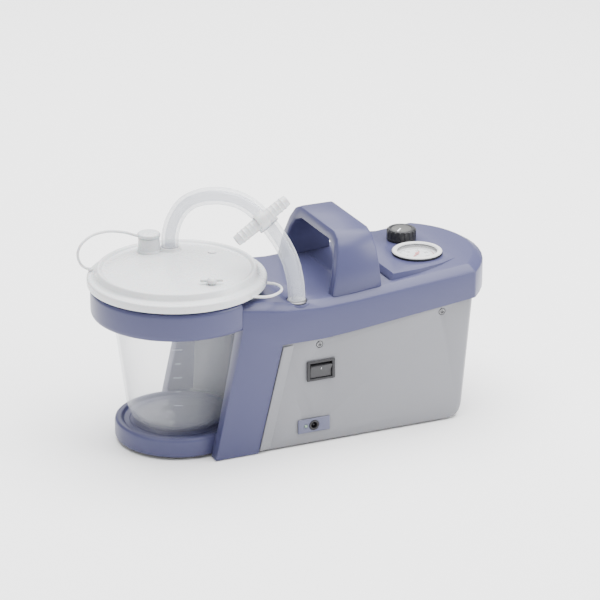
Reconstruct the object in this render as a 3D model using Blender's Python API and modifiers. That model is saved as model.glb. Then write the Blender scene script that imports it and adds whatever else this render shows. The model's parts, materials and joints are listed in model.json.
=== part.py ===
"""Portable suction pump with a collection jar, built piece by piece.

Lengths are in metres. Everything is modelled in a frame whose Z axis is the
jar's axis; the empty "pump_frame" then moves that axis along X, so that the
origin ends up under the middle of the body, on the surface it stands on.
+X runs from the jar to the far end of the housing, -Y is the switch side.
"""

import bpy
import bmesh
from math import asin, cos, pi, radians, sin, sqrt
from mathutils import Matrix, Vector

mm = 0.001

# Driving dimensions
clear = 0.3 * mm            # gap between pieces that touch
wall = 2.6 * mm             # housing mouldings
jar_axis_x = -95.6 * mm     # jar axis, from the middle of the body

jar_top_radius = 54.3 * mm  # outside of the jar just under its rim
jar_base_radius = 33.0 * mm
jar_wall = 2.1 * mm
collar_play = 2.7 * mm      # room round the jar in the collar
collar_width = 12.3 * mm
collar_height = 23.5 * mm
collar_top = 131.0 * mm     # height that the jar's rim rests at
collar_side_cut = 7.2 * mm  # how far the flat sides cut into the collar's round

body_corner = 235.0 * mm    # where the flat side meets the round far end
body_tip = 263.0 * mm
shoulder_width = 8.0 * mm
shoulder_drop = 5.0 * mm
skirt_overhang = 1.6 * mm
skirt_ledge = 3.0 * mm      # thickness of the cover's lip over the shell's top edge
shell_lean = 13.0 * mm      # how far the far end leans in towards its foot
foot_round_in = 6.0 * mm    # rounding of the far end's foot, inwards and upwards
foot_round_up = 11.0 * mm

column_width = 17.1 * mm
column_foot = 1.0 * mm
column_front_low = 6.7 * mm
column_rear_low = 43.3 * mm
column_rear_high = 64.7 * mm

tray_radius = 52.1 * mm
tray_bottom = 2.6 * mm
tray_floor = 16.1 * mm
tray_rim = 18.4 * mm

hose_radius = 7.0 * mm
handle_thickness = 9.0 * mm
foot_height = 3.1 * mm
plate_thickness = 2.4 * mm

# Sizes that follow from the jar
collar_bore = jar_top_radius + collar_play
collar_radius = collar_bore + collar_width
collar_bottom = collar_top - collar_height
lid_radius = collar_radius + 2.5 * mm
rim_radius = lid_radius - 4.3 * mm
body_half = collar_radius - collar_side_cut
inner_half = body_half - skirt_overhang - wall
column_inner = body_half - column_width
front_x = sqrt(collar_radius ** 2 - body_half ** 2) - 0.1 * mm
column_top = collar_top - 17 * mm
plateau_top = collar_top + 0.5 * mm     # instrument panel on the deck
handle_top = collar_top + 38 * mm
jar_bottom = tray_floor + clear
jar_rim_low = collar_top + clear
jar_rim_top = jar_rim_low + 3 * mm
lid_z = jar_rim_top - 134.3 * mm    # shift of the lid's outline with the jar's rim
bay_low = tray_radius + 0.4 * mm
bay_mid = bay_low + 1.5 * mm
plate_low = foot_height + clear
plate_high = plate_low + plate_thickness
shell_bottom = 2.0 * mm
shell_corner = body_corner - 2 * mm
shell_tip = body_tip - 13 * mm

# Heights along the body, as (x, height) corners
deck_line = (
    (front_x, collar_top - 1.5 * mm),
    (70 * mm, collar_top - 7.7 * mm),
    (100 * mm, collar_top - 9.4 * mm),
    (130 * mm, collar_top - 8.0 * mm),
    (body_tip - 98 * mm, collar_top - 5.0 * mm),
    (body_tip - 63 * mm, collar_top - 2.0 * mm),
    (body_tip - 28 * mm, collar_top + 1.0 * mm),
    (body_tip, collar_top + 2.5 * mm),
)
skirt_line = (
    (0.0, collar_top - 40.5 * mm),
    (107 * mm, collar_top - 40.5 * mm),
    (body_tip, collar_top - 23.3 * mm),
)

# Places of the fittings, from the jar axis
hose_port = (9.9 * mm, 39.1 * mm)
capped_port = (-7.0 * mm, 42.5 * mm)
vent_place = (10.6 * mm, -47.1 * mm)
socket_place = (82.0 * mm, -50.0 * mm)
gauge_place = (body_tip - 57.9 * mm, -14.9 * mm)
knob_place = (body_tip - 55.0 * mm, 20.8 * mm)
switch_place = (98.1 * mm, 63.8 * mm)
rocker_lean = radians(10)   # rest tilt, the upper half standing proud
inlet_place = (92.1 * mm, 17.0 * mm)
lamp_x = 84.9 * mm
screw_drop = 5.0 * mm
screw_stations = (97.4 * mm, body_tip - 57.1 * mm)
handle_screw_x = 133 * mm
handle_screw_y = body_half - 12.6 * mm
boss_x = body_tip - 67 * mm
boss_y = inner_half - 3.7 * mm
tray_peg_ring = 34 * mm
lug_radius = 3 * mm
lug_z = collar_top - 14 * mm
lug_y = body_half - 7 * mm
needle_rest = radians(225)  # the needle points to zero, low on the jar's side of the dial
pump_x = 133 * mm
motor_y = -22 * mm
motor_z = 38 * mm
crank_throw = 3 * mm

finishes = {
    "blue_plastic": ((0.235, 0.255, 0.42), 0.38, 0.0, 1.0),
    "grey_plastic": ((0.42, 0.43, 0.44), 0.45, 0.0, 1.0),
    "clear_plastic": ((0.86, 0.88, 0.90), 0.05, 0.0, 0.25),
    "milky_plastic": ((0.80, 0.81, 0.82), 0.35, 0.0, 1.0),
    "silicone": ((0.75, 0.77, 0.80), 0.3, 0.0, 0.6),
    "black_plastic": ((0.03, 0.03, 0.032), 0.4, 0.0, 1.0),
    "dark_grey": ((0.09, 0.09, 0.10), 0.4, 0.0, 1.0),
    "plate_grey": ((0.24, 0.24, 0.32), 0.45, 0.0, 1.0),
    "dial_white": ((0.80, 0.81, 0.84), 0.5, 0.0, 1.0),
    "rubber": ((0.03, 0.03, 0.03), 0.8, 0.0, 1.0),
    "steel": ((0.55, 0.55, 0.56), 0.3, 1.0, 1.0),
    "brass": ((0.60, 0.45, 0.20), 0.3, 1.0, 1.0),
    "aluminium": ((0.65, 0.66, 0.68), 0.4, 1.0, 1.0),
    "board_green": ((0.03, 0.16, 0.07), 0.5, 0.0, 1.0),
    "lamp_green": ((0.20, 0.70, 0.25), 0.2, 0.0, 1.0),
    "needle_red": ((0.55, 0.03, 0.03), 0.4, 0.0, 1.0),
}


# Scene helpers

def clear_scene():
    for item in list(bpy.data.objects):
        bpy.data.objects.remove(item, do_unlink=True)
    for group in list(bpy.data.collections):
        bpy.data.collections.remove(group)


def make_collection(name):
    group = bpy.data.collections.new(name)
    bpy.context.scene.collection.children.link(group)
    return group


def make_material(name):
    color, roughness, metallic, alpha = finishes[name]
    material = bpy.data.materials.new(name)
    material.use_nodes = True
    shader = material.node_tree.nodes["Principled BSDF"]
    shader.inputs["Base Color"].default_value = (*color, 1.0)
    shader.inputs["Roughness"].default_value = roughness
    shader.inputs["Metallic"].default_value = metallic
    shader.inputs["Alpha"].default_value = alpha
    material.diffuse_color = (*color, alpha)
    return material


clear_scene()
parts = make_collection("suction_pump")
cutters = make_collection("cutters")
pump_frame = bpy.data.objects.new("pump_frame", None)
pump_frame.location = (jar_axis_x, 0, 0)
parts.objects.link(pump_frame)
materials = {name: make_material(name) for name in finishes}


def keep(name, mesh):
    """A cutter or a raw body, until finish() turns it into a part."""
    item = bpy.data.objects.new(name, mesh)
    item.parent = pump_frame
    item.hide_render = True
    item.display_type = "WIRE"
    cutters.objects.link(item)
    return item


def finish(item, material, pivot=None):
    """Makes a raw body a part, with its origin on its pivot."""
    cutters.objects.unlink(item)
    parts.objects.link(item)
    item.hide_render = False
    item.display_type = "TEXTURED"
    item.data.materials.append(materials[material])
    if item.type == "MESH":
        item.data.shade_smooth()
        item.data.set_sharp_from_angle(angle=radians(35))
    if pivot is not None:
        item.data.transform(Matrix.Translation(item.location - Vector(pivot)))
        item.location = pivot
    return item


def mesh_from(name, bm):
    bmesh.ops.recalc_face_normals(bm, faces=bm.faces)
    mesh = bpy.data.meshes.new(name)
    bm.to_mesh(mesh)
    bm.free()
    return mesh


# Shape helpers

def add_box(bm, low, high):
    size = [b - a for a, b in zip(low, high)]
    middle = [(a + b) / 2 for a, b in zip(low, high)]
    place = Matrix.Translation(middle) @ Matrix.Diagonal((*size, 1))
    return bmesh.ops.create_cube(bm, size=1, matrix=place)["verts"]


def boxes(name, pairs, bevel=0.0):
    """One object with a box for each (low corner, high corner) pair."""
    bm = bmesh.new()
    for low, high in pairs:
        add_box(bm, low, high)
    if bevel:
        bmesh.ops.bevel(bm, geom=bm.edges[:], offset=bevel, segments=1, affect="EDGES")
    return keep(name, mesh_from(name, bm))


def add_rod(bm, start, end, radius, end_radius=None, sides=32):
    start = Vector(start)
    end = Vector(end)
    run = end - start
    turn = run.to_track_quat("Z", "Y").to_matrix().to_4x4()
    place = Matrix.Translation((start + end) / 2) @ turn
    last = radius if end_radius is None else end_radius
    bmesh.ops.create_cone(bm, cap_ends=True, segments=sides, radius1=radius,
                          radius2=last, depth=run.length, matrix=place)


def rods(name, runs, sides=32):
    """One object with a straight rod for each (start, end, radius[, end radius])."""
    bm = bmesh.new()
    for run in runs:
        add_rod(bm, *run, sides=sides)
    return keep(name, mesh_from(name, bm))


def turned(name, outline, place=(0.0, 0.0), steps=40):
    """Outline of (radius, height) points, turned about the upright through place."""
    bm = bmesh.new()
    verts = [bm.verts.new((r, 0, z)) for r, z in outline]
    for a, b in zip(verts, verts[1:]):
        bm.edges.new((a, b))
    if outline[0][0] > 0:
        bm.edges.new((verts[-1], verts[0]))
    mesh = bpy.data.meshes.new(name)
    bm.to_mesh(mesh)
    bm.free()
    item = keep(name, mesh)
    item.location = (place[0], place[1], 0)
    screw = item.modifiers.new("turn", "SCREW")
    screw.axis = "Z"
    screw.angle = 2 * pi
    screw.steps = steps
    screw.render_steps = steps
    screw.use_merge_vertices = True
    screw.merge_threshold = 0.00001
    return item


def prism(name, outline, axis, low, high, bevel=0.0):
    """Flat outline pushed along X, Y or Z from low to high."""
    slot = "XYZ".index(axis)
    bm = bmesh.new()
    verts = []
    for point in outline:
        spot = list(point)
        spot.insert(slot, low)
        verts.append(bm.verts.new(spot))
    face = bm.faces.new(verts)
    grown = bmesh.ops.extrude_face_region(bm, geom=[face])["geom"]
    step = Vector((0, 0, 0))
    step[slot] = high - low
    moved = [v for v in grown if isinstance(v, bmesh.types.BMVert)]
    bmesh.ops.translate(bm, verts=moved, vec=step)
    if bevel:
        bmesh.ops.recalc_face_normals(bm, faces=bm.faces)
        rims = [e for e in bm.edges if e.calc_face_angle(0) > radians(50)]
        bmesh.ops.bevel(bm, geom=rims, offset=bevel, segments=2, profile=0.5, affect="EDGES")
    return keep(name, mesh_from(name, bm))


def loft(name, sections, round_radius=0.0, wanted=None):
    """Solid through closed sections that mirror their first half in their second."""
    bm = bmesh.new()
    rings = [[bm.verts.new(point) for point in section] for section in sections]
    count = len(rings[0])
    for here, there in zip(rings, rings[1:]):
        for i in range(count):
            j = (i + 1) % count
            bm.faces.new((here[i], here[j], there[j], there[i]))
    for ring in (rings[0], rings[-1]):
        for k in range(count // 2 - 1):
            bm.faces.new((ring[k], ring[k + 1], ring[count - 2 - k], ring[count - 1 - k]))
    bmesh.ops.recalc_face_normals(bm, faces=bm.faces)
    if round_radius:
        rims = [e for e in bm.edges if e.calc_face_angle(0) > radians(18) and wanted(e)]
        bmesh.ops.bevel(bm, geom=rims, offset=round_radius, segments=2,
                        profile=0.5, affect="EDGES", clamp_overlap=True)
    return keep(name, mesh_from(name, bm))


def smooth_route(points, spacing):
    """Points at an even spacing along a smooth curve through the given ones."""
    knots = [Vector(p) for p in points]
    knots = [2 * knots[0] - knots[1]] + knots + [2 * knots[-1] - knots[-2]]
    dense = []
    for a, b, c, d in zip(knots, knots[1:], knots[2:], knots[3:]):
        for i in range(12):
            t = i / 12
            dense.append(0.5 * (2 * b + (c - a) * t + (2 * a - 5 * b + 4 * c - d) * t ** 2
                                + (3 * b - 3 * c + d - a) * t ** 3))
    dense.append(knots[-2])
    length = sum((q - p).length for p, q in zip(dense, dense[1:]))
    count = max(4, round(length / spacing))
    route = [dense[0]]
    walked = 0.0
    for p, q in zip(dense, dense[1:]):
        walked += (q - p).length
        if walked >= length * len(route) / count and len(route) < count:
            route.append(q)
    route.append(dense[-1])
    return route


def tube(name, points, radius, resolution=2):
    """Round bar along a poly curve, with filled ends."""
    curve = bpy.data.curves.new(name, "CURVE")
    curve.dimensions = "3D"
    curve.bevel_depth = radius
    curve.bevel_resolution = resolution
    curve.use_fill_caps = True
    spline = curve.splines.new("POLY")
    spline.points.add(len(points) - 1)
    for spot, point in zip(spline.points, points):
        spot.co = (*point, 1.0)
    return keep(name, curve)


def as_mesh(item):
    """The same shape as a closed mesh, which a Boolean can read."""
    bpy.context.view_layer.update()
    shape = item.evaluated_get(bpy.context.evaluated_depsgraph_get())
    mesh = bpy.data.meshes.new_from_object(shape)
    bm = bmesh.new()
    bm.from_mesh(mesh)
    bmesh.ops.remove_doubles(bm, verts=bm.verts, dist=0.00001)
    bmesh.ops.recalc_face_normals(bm, faces=bm.faces)
    bm.to_mesh(mesh)
    bm.free()
    name = item.name
    bpy.data.objects.remove(item, do_unlink=True)
    return keep(name, mesh)


def combine(item, tool, operation):
    step = item.modifiers.new(operation.lower(), "BOOLEAN")
    step.operation = operation
    step.solver = "EXACT"
    step.object = tool


def cut(item, *tools):
    for tool in tools:
        combine(item, tool, "DIFFERENCE")


def join(item, *tools):
    for tool in tools:
        combine(item, tool, "UNION")


# Outlines shared by the housing pieces

def height_on(line, x):
    """Height at x on a broken line of (x, height) corners."""
    for (x0, h0), (x1, h1) in zip(line, line[1:]):
        if x <= x1:
            return h0 + (h1 - h0) * (x - x0) / (x1 - x0)
    return line[-1][1]


def side_and_end(half, corner, tip, inset, stations, steps=6):
    """Front half of a plan outline: stations along the side, then the round end."""
    radius = ((tip - corner) ** 2 + half ** 2) / (2 * (tip - corner))
    centre = tip - radius
    turn = asin((half - inset) / (radius - inset))
    points = [(x, half - inset) for x in stations]
    for i in range(steps + 1):
        angle = turn * (1 - i / (steps + 0.5))
        reach = radius - inset
        points.append((centre + reach * cos(angle), reach * sin(angle)))
    return points


def cover_body(name, inset, drop, sink, start, rounding=0.0):
    """Deck, sloping shoulder and skirt, moved in by inset and down by drop."""
    stations = [start, 50 * mm, 70 * mm, 100 * mm, 130 * mm, body_tip - 98 * mm,
                body_tip - 63 * mm]
    low = side_and_end(body_half, body_corner, body_tip, inset, stations)
    high = side_and_end(body_half, body_corner, body_tip, inset + shoulder_width, stations)
    sections = []
    for (x, y), (u, v) in zip(low, high):
        foot = height_on(skirt_line, x) - sink
        edge = height_on(deck_line, x) - shoulder_drop - drop
        deck = height_on(deck_line, u) - drop
        sections.append([(x, -y, foot), (x, -y, edge), (u, -v, deck),
                         (u, v, deck), (x, y, edge), (x, y, foot)])

    def on_top(edge):
        at_foot = [abs(v.co.z - height_on(skirt_line, v.co.x) + sink) < 0.1 * mm for v in edge.verts]
        at_start = [abs(v.co.x - start) < 0.1 * mm for v in edge.verts]
        return not all(at_foot) and not all(at_start)

    return loft(name, sections, rounding, on_top)


def end_pull(x, z, low, top):
    """How far the far end lies inwards at height z: its lean and its rounded foot."""
    share = max(0.0, (x - 200 * mm) / (shell_tip - 200 * mm))
    drop = min(1.0, max(0.0, 1 - (z - shell_bottom) / foot_round_up))
    return share * (shell_lean * (top - z) / (top - low) + foot_round_in * (1 - sqrt(1 - drop ** 2)))


def shell_body(name, inset, low, rise, rounding=0.0, start=20 * mm):
    """Lower shell's block up to the skirt, with its far end leaning in to the foot."""
    stations = [start, 65 * mm, 107 * mm, 200 * mm]
    outline = side_and_end(body_half - skirt_overhang, shell_corner, shell_tip, inset, stations)
    sections = []
    for x, y in outline:
        top = height_on(skirt_line, x) - clear + rise
        side = [(x - end_pull(x, low, low, top), low)]
        for share in (0.25, 0.6, 1.0):
            z = shell_bottom + share * foot_round_up
            side.append((x - end_pull(x, z, low, top), z))
        side.append((x, top))
        sections.append([(u, -y, z) for u, z in side] + [(u, y, z) for u, z in reversed(side)])

    def upright(edge):
        a, b = (v.co for v in edge.verts)
        return abs(a.z - b.z) > 0.5 * (a - b).length and min(a.x, b.x) > 100 * mm

    return loft(name, sections, rounding, upright)


def column_block(name, gap, low, high):
    """Room of both columns: all that lies ahead of their sloping rear edge."""
    slope = (column_rear_high - column_rear_low) / (height_on(skirt_line, 0) - column_foot)
    rear_low = column_rear_low + gap + slope * (low - column_foot)
    rear_high = column_rear_low + gap + slope * (high - column_foot)
    outline = [(-20 * mm, low), (rear_low, low), (rear_high, high), (-20 * mm, high)]
    near = prism(name, outline, "Y", -body_half - 10 * mm, -column_inner + gap)
    far = prism(name + "_far", outline, "Y", column_inner - gap, body_half + 10 * mm)
    join(near, far)
    return near


def bay_body(name, grow):
    """Room that the jar stands in: straight through the collar, tapered below it."""
    top = collar_top + 30 * mm
    return turned(name, [(0, top), (collar_bore + grow, top),
                         (collar_bore + grow, collar_bottom - clear),
                         (bay_mid + grow, tray_rim + 0.6 * mm),
                         (bay_low + grow, tray_rim + 0.5 * mm),
                         (bay_low + grow, -10 * mm), (0, -10 * mm)], steps=44)


bay = bay_body("bay_room", 0.0)
bay_backing = bay_body("bay_backing", wall)
front_passage = boxes("front_passage", [((20 * mm, -36.6 * mm, -5 * mm),
                                         (62 * mm, 36.6 * mm, plate_high + clear))])


# Housing

def make_top_cover():
    cover = cover_body("top_cover", 0.0, 0.0, 0.0, front_x, rounding=3 * mm)
    panel = []
    for x, y in ((body_tip - 99 * mm, 49 * mm), (body_tip - 96 * mm, 50 * mm),
                 (body_tip - 72 * mm, 49 * mm), (body_tip - 50 * mm, 44 * mm),
                 (body_tip - 26 * mm, 33 * mm)):
        top = plateau_top if x > body_tip - 98 * mm else plateau_top - 4 * mm
        panel.append([(x, -y - 1.5 * mm, collar_top - 10 * mm), (x, -y, top),
                      (x, y, top), (x, y + 1.5 * mm, collar_top - 10 * mm)])
    join(cover, loft("instrument_panel", panel))
    hollow = cover_body("cover_hollow", wall, wall, -skirt_ledge, front_x + wall)
    mouth = shell_body("cover_mouth", wall, shell_bottom, skirt_ledge + 5 * mm,
                       start=front_x + 2 * wall)
    join(hollow, mouth)
    cut(hollow, turned("bore_wall", [(0, 200 * mm), (collar_bore + wall, 200 * mm),
                                     (collar_bore + wall, 0), (0, 0)], steps=44))
    cut(cover, hollow)
    rear_slope = (column_rear_high - column_rear_low) / (height_on(skirt_line, 0) - column_foot)
    front_slope = (front_x - column_front_low) / (collar_bottom - clear - column_foot)
    buried = 1.0 * mm           # the columns' upper corners lie this far inside the cover
    rear = column_rear_high + rear_slope * buried
    column_side = [(column_front_low, column_foot), (column_rear_low, column_foot),
                   (rear, height_on(skirt_line, 0) + buried), (rear, column_top),
                   (front_x + buried, column_top),
                   (front_x + buried, collar_bottom - clear + buried / front_slope)]
    join(cover, prism("near_column", column_side, "Y", -body_half, -column_inner),
         prism("far_column", column_side, "Y", column_inner, body_half))
    tabs = []
    for x in screw_stations:
        z = height_on(skirt_line, x)
        for side in (-1, 1):
            inner = sorted((side * (inner_half - clear - 3 * mm), side * (inner_half - clear)))
            outer = sorted((side * (inner_half - clear - 3 * mm), side * (body_half - 1 * mm)))
            tabs.append(((x - 5 * mm, inner[0], z - 12 * mm), (x + 5 * mm, inner[1], z + 6 * mm)))
            tabs.append(((x - 4.9 * mm, outer[0], z + 2 * mm), (x + 4.9 * mm, outer[1], z + 5 * mm)))
    for i, (low, high) in enumerate(tabs):
        join(cover, boxes(f"screw_tab_{i}", [(low, high)]))
    sx, sy = socket_place
    join(cover, rods("socket_boss", [((sx, sy, 114 * mm), (sx, sy, 120.5 * mm), 10.4 * mm)]))
    cut(cover, bay)
    gx, gy = gauge_place
    kx, ky = knob_place
    holes = [((sx, sy, 100 * mm), (sx, sy, 130 * mm), 4.8 * mm),
             ((gx, gy, 100 * mm), (gx, gy, 150 * mm), 18.8 * mm),
             ((kx, ky, 100 * mm), (kx, ky, 150 * mm), 5.4 * mm)]
    for y in (-handle_screw_y, handle_screw_y):
        holes.append(((handle_screw_x, y, 100 * mm), (handle_screw_x, y, 150 * mm), 1.8 * mm))
    for x in screw_stations:
        z = height_on(skirt_line, x) - screw_drop
        for side in (-1, 1):
            holes.append(((x, side * (inner_half + wall / 2), z), (x, side * 40 * mm, z), 1.8 * mm))
    for y in (-lug_y, lug_y):
        holes.append(((front_x - 5 * mm, y, lug_z), (front_x + 9 * mm, y, lug_z), lug_radius + clear))
    cut(cover, rods("cover_holes", holes, sides=24))
    cut(cover, rods("nipple_seat", [((sx, sy, 120.2 * mm), (sx, sy, 140 * mm), 8.5 * mm)], sides=20))
    finish(cover, "blue_plastic")


def make_carry_handle():
    reach = body_half - 62.1 * mm
    outer = [(57, 108), (55.5, 122), (53.2, 142), (48.5, 156), (42, 165), (33, 169)]
    inner = [(27, 160), (36.5, 156), (40.5, 149), (43.5, 138), (45.4, 122), (46, 108)]
    half = [(y * mm + reach, z * mm + handle_top - 169 * mm) for y, z in outer]
    back = [(y * mm + reach, z * mm + handle_top - 160 * mm - handle_thickness) for y, z in inner]
    outline = half + [(-y, z) for y, z in reversed(half)]
    outline += [(-y, z) for y, z in reversed(back)] + back
    bm = bmesh.new()
    verts = [bm.verts.new((0, y, z)) for y, z in outline]
    face = bm.faces.new(verts)
    grown = bmesh.ops.extrude_face_region(bm, geom=[face])["geom"]
    far = [v for v in grown if isinstance(v, bmesh.types.BMVert)]
    near = [v for v in bm.verts if v not in far]
    near_line = ((108 * mm, 108 * mm), (121 * mm, 110.5 * mm), (148 * mm, 116.5 * mm),
                 (handle_top, 122 * mm))
    for v in near:
        v.co.x = height_on(near_line, v.co.z)
    for v in far:
        v.co.x = 156 * mm - (v.co.z - 108 * mm) * 0.07
    bmesh.ops.recalc_face_normals(bm, faces=bm.faces)
    rims = [e for e in bm.edges if e.calc_face_angle(0) > radians(50)]
    bmesh.ops.bevel(bm, geom=rims, offset=2.2 * mm, segments=2, profile=0.5, affect="EDGES")
    handle = keep("carry_handle", mesh_from("carry_handle", bm))
    cut(handle, cover_body("deck_under_handle", -clear, -clear, 20 * mm, front_x))
    holes = []
    for y in (-handle_screw_y, handle_screw_y):
        holes.append(((handle_screw_x, y, 100 * mm), (handle_screw_x, y, 136 * mm), 1.8 * mm))
    cut(handle, rods("handle_holes", holes, sides=16))
    finish(handle, "blue_plastic")


def make_jar_collar():
    b = collar_bottom
    t = collar_top
    r = collar_radius
    ring = turned("jar_collar", [(r - 2 * mm, t), (r - 0.6 * mm, t - 0.5 * mm), (r, t - 2 * mm),
                                 (r, b + 3.5 * mm), (r - 1.2 * mm, b + 1.2 * mm),
                                 (r - 3.5 * mm, b), (collar_bore, b), (collar_bore, t)], steps=44)
    far_side = boxes("collar_limit", [((front_x - clear, -100 * mm, 80 * mm),
                                       (120 * mm, 100 * mm, 160 * mm))])
    cut(ring, far_side)
    for name, y in (("near_lug", -lug_y), ("far_lug", lug_y)):
        join(ring, rods(name, [((front_x - 4 * mm, y, lug_z), (front_x + 8 * mm, y, lug_z), lug_radius)],
                        sides=20))
    finish(ring, "blue_plastic")


def make_jar_tray():
    r = tray_radius
    t = tray_rim
    tray = turned("jar_tray", [(0, tray_floor), (r - 7.6 * mm, tray_floor), (r - 5.8 * mm, t - 0.3 * mm),
                               (r - 4.6 * mm, t), (r - 2.2 * mm, t), (r - 0.6 * mm, t - 1.2 * mm),
                               (r, t - 3.4 * mm), (r, tray_bottom + 1.6 * mm),
                               (r - 0.8 * mm, tray_bottom), (r - wall, tray_bottom),
                               (r - wall, tray_floor - 3 * mm), (0, tray_floor - 3 * mm)], steps=44)
    for i in range(3):
        angle = radians(60 + 120 * i)
        x = tray_peg_ring * cos(angle)
        y = tray_peg_ring * sin(angle)
        boss = rods(f"tray_boss_{i}", [((x, y, plate_high + clear), (x, y, tray_floor - 2 * mm), 4 * mm)],
                    sides=20)
        join(boss, rods(f"tray_peg_{i}", [((x, y, plate_low - 1 * mm), (x, y, plate_high + 2 * mm),
                                           1.5 * mm)],
                        sides=16))
        join(tray, boss)
    cut(tray, front_passage)
    finish(tray, "blue_plastic")


def make_lower_shell():
    shell = shell_body("lower_shell", 0.0, shell_bottom, 0.0, rounding=5 * mm)
    hollow = shell_body("shell_hollow", wall, shell_bottom - 0.5 * mm, 10 * mm, rounding=3 * mm)
    cut(hollow, column_block("column_backing", clear + wall, -15 * mm, 130 * mm), bay_backing)
    cut(shell, column_block("column_room", clear, -10 * mm, 120 * mm), bay, hollow)
    for name, y in (("near_boss", -boss_y), ("far_boss", boss_y)):
        boss = rods(name, [((boss_x, y, plate_high + clear), (boss_x, y, 20 * mm), 4 * mm)], sides=20)
        cut(boss, rods(name + "_hole", [((boss_x, y, 0), (boss_x, y, 15 * mm), 1.8 * mm)], sides=16))
        join(shell, boss)
    face = body_half - skirt_overhang
    sx, sz = switch_place
    ix, iz = inlet_place
    slots = [((sx - 11.1 * mm, -face - 5 * mm, sz - 7.7 * mm),
              (sx + 11.1 * mm, -face + 10 * mm, sz + 7.7 * mm))]
    for i in range(6):
        y = (i - 2.5) * 9 * mm
        slots.append(((shell_tip - 45 * mm, y - 1.5 * mm, 34 * mm),
                      (shell_tip + 20 * mm, y + 1.5 * mm, 64 * mm)))
    cut(shell, front_passage, boxes("shell_slots", slots))
    holes = [((ix, -face - 5 * mm, iz), (ix, -face + 8 * mm, iz), 4.6 * mm),
             ((lamp_x, -face - 5 * mm, iz), (lamp_x, -face + 8 * mm, iz), 1.7 * mm)]
    for x in screw_stations:
        z = height_on(skirt_line, x) - screw_drop
        for side in (-1, 1):
            holes.append(((x, side * (face + 5 * mm), z), (x, side * (face - 8 * mm), z), 1.8 * mm))
            holes.append(((x, side * (face + 5 * mm), z), (x, side * (face - 1.3 * mm), z), 3.1 * mm))
    for i, hole in enumerate(holes):
        cut(shell, rods(f"shell_hole_{i}", [hole], sides=20))
    finish(shell, "grey_plastic")


def make_base_plate():
    stations = [30 * mm, 65 * mm, 107 * mm, 200 * mm]
    edge_room = wall + 1.8 * mm
    outline = side_and_end(body_half - skirt_overhang, shell_corner, shell_tip, edge_room, stations)
    sections = []
    for x, y in outline:
        lean = end_pull(x, plate_low, plate_low, height_on(skirt_line, x))
        sections.append([(x - lean, -y, plate_low), (x - lean, -y, plate_high),
                         (x - lean, y, plate_high), (x - lean, y, plate_low)])
    plate = loft("base_plate", sections)
    cut(plate, column_block("plate_column_room", 2 * clear + wall, -12 * mm, 60 * mm))
    room = bay_low + wall + clear
    cut(plate, turned("plate_bay", [(0, 30 * mm), (room, 30 * mm), (room, -30 * mm), (0, -30 * mm)],
                      steps=44))
    tongue = boxes("plate_tongue", [((0, -36.2 * mm, plate_low), (75 * mm, 36.2 * mm, plate_high))])
    disc = rods("plate_disc", [((0, 0, plate_low), (0, 0, plate_high), tray_radius - wall - 0.7 * mm)],
                sides=40)
    join(plate, tongue, disc)
    holes = []
    for y in (-boss_y, boss_y):
        holes.append(((boss_x, y, -5 * mm), (boss_x, y, 30 * mm), 1.8 * mm))
    for i in range(3):
        angle = radians(60 + 120 * i)
        x = tray_peg_ring * cos(angle)
        y = tray_peg_ring * sin(angle)
        holes.append(((x, y, -5 * mm), (x, y, 30 * mm), 1.8 * mm))
    cut(plate, rods("plate_holes", holes, sides=16))
    finish(plate, "dark_grey")


def make_feet():
    """Two rubber strips under the base plate."""
    rear = body_tip - 54 * mm
    reach = inner_half - 7 * mm
    for name, x0, x1, y in (("front_foot", 45 * mm, 59 * mm, 34 * mm),
                            ("rear_foot", rear - 11 * mm, rear + 11 * mm, reach)):
        bm = bmesh.new()
        add_box(bm, (x0, -y, 0), (x1, y, foot_height))
        upright = [e for e in bm.edges if abs(e.verts[0].co.z - e.verts[1].co.z) > 1 * mm]
        bmesh.ops.bevel(bm, geom=upright, offset=4 * mm, segments=4, profile=0.5, affect="EDGES")
        finish(keep(name, mesh_from(name, bm)), "rubber")


def make_screws():
    """Pan-head screws through the shell, the deck and the base plate."""
    face = body_half - skirt_overhang
    for x, end in zip(screw_stations, ("front", "rear")):
        z = height_on(skirt_line, x) - screw_drop
        for side, flank in ((-1, "near"), (1, "far")):
            pan_screw(f"{flank}_screw_{end}", (x, side * (face + 0.3 * mm), z),
                      (x, side * (face - 1 * mm), z),
                      (x, side * (face - 9 * mm), z))
    head = height_on(deck_line, handle_screw_x) - wall - 1.6 * mm
    low = plate_low - clear
    for side, flank in ((-1, "near"), (1, "far")):
        x = handle_screw_x
        y = side * handle_screw_y
        pan_screw(f"handle_screw_{flank}", (x, y, head - 2 * mm), (x, y, head), (x, y, head + 15 * mm))
        y = side * boss_y
        pan_screw(f"base_screw_{flank}", (boss_x, y, low - 1.8 * mm), (boss_x, y, low),
                  (boss_x, y, low + 8 * mm))


def pan_screw(name, top, under, tip):
    """A screw from the top of its head, past the head's underside, to its tip."""
    top = Vector(top)
    tip = Vector(tip)
    turn = (tip - top).to_track_quat("Z", "Y").to_matrix()
    head = (Vector(under) - top).length
    steps = ((0, 2.3 * mm), (0.5 * mm, 2.8 * mm), (head, 2.8 * mm), (head, 1.5 * mm),
             ((tip - top).length, 1.5 * mm))
    sections = []
    for depth, radius in steps:
        ring = [(radius * cos(pi * i / 5), radius * sin(pi * i / 5), depth) for i in range(10)]
        sections.append([top + turn @ Vector(spot) for spot in ring])
    finish(loft(name, sections), "steel")


# Jar, lid and what hangs on the lid

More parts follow.
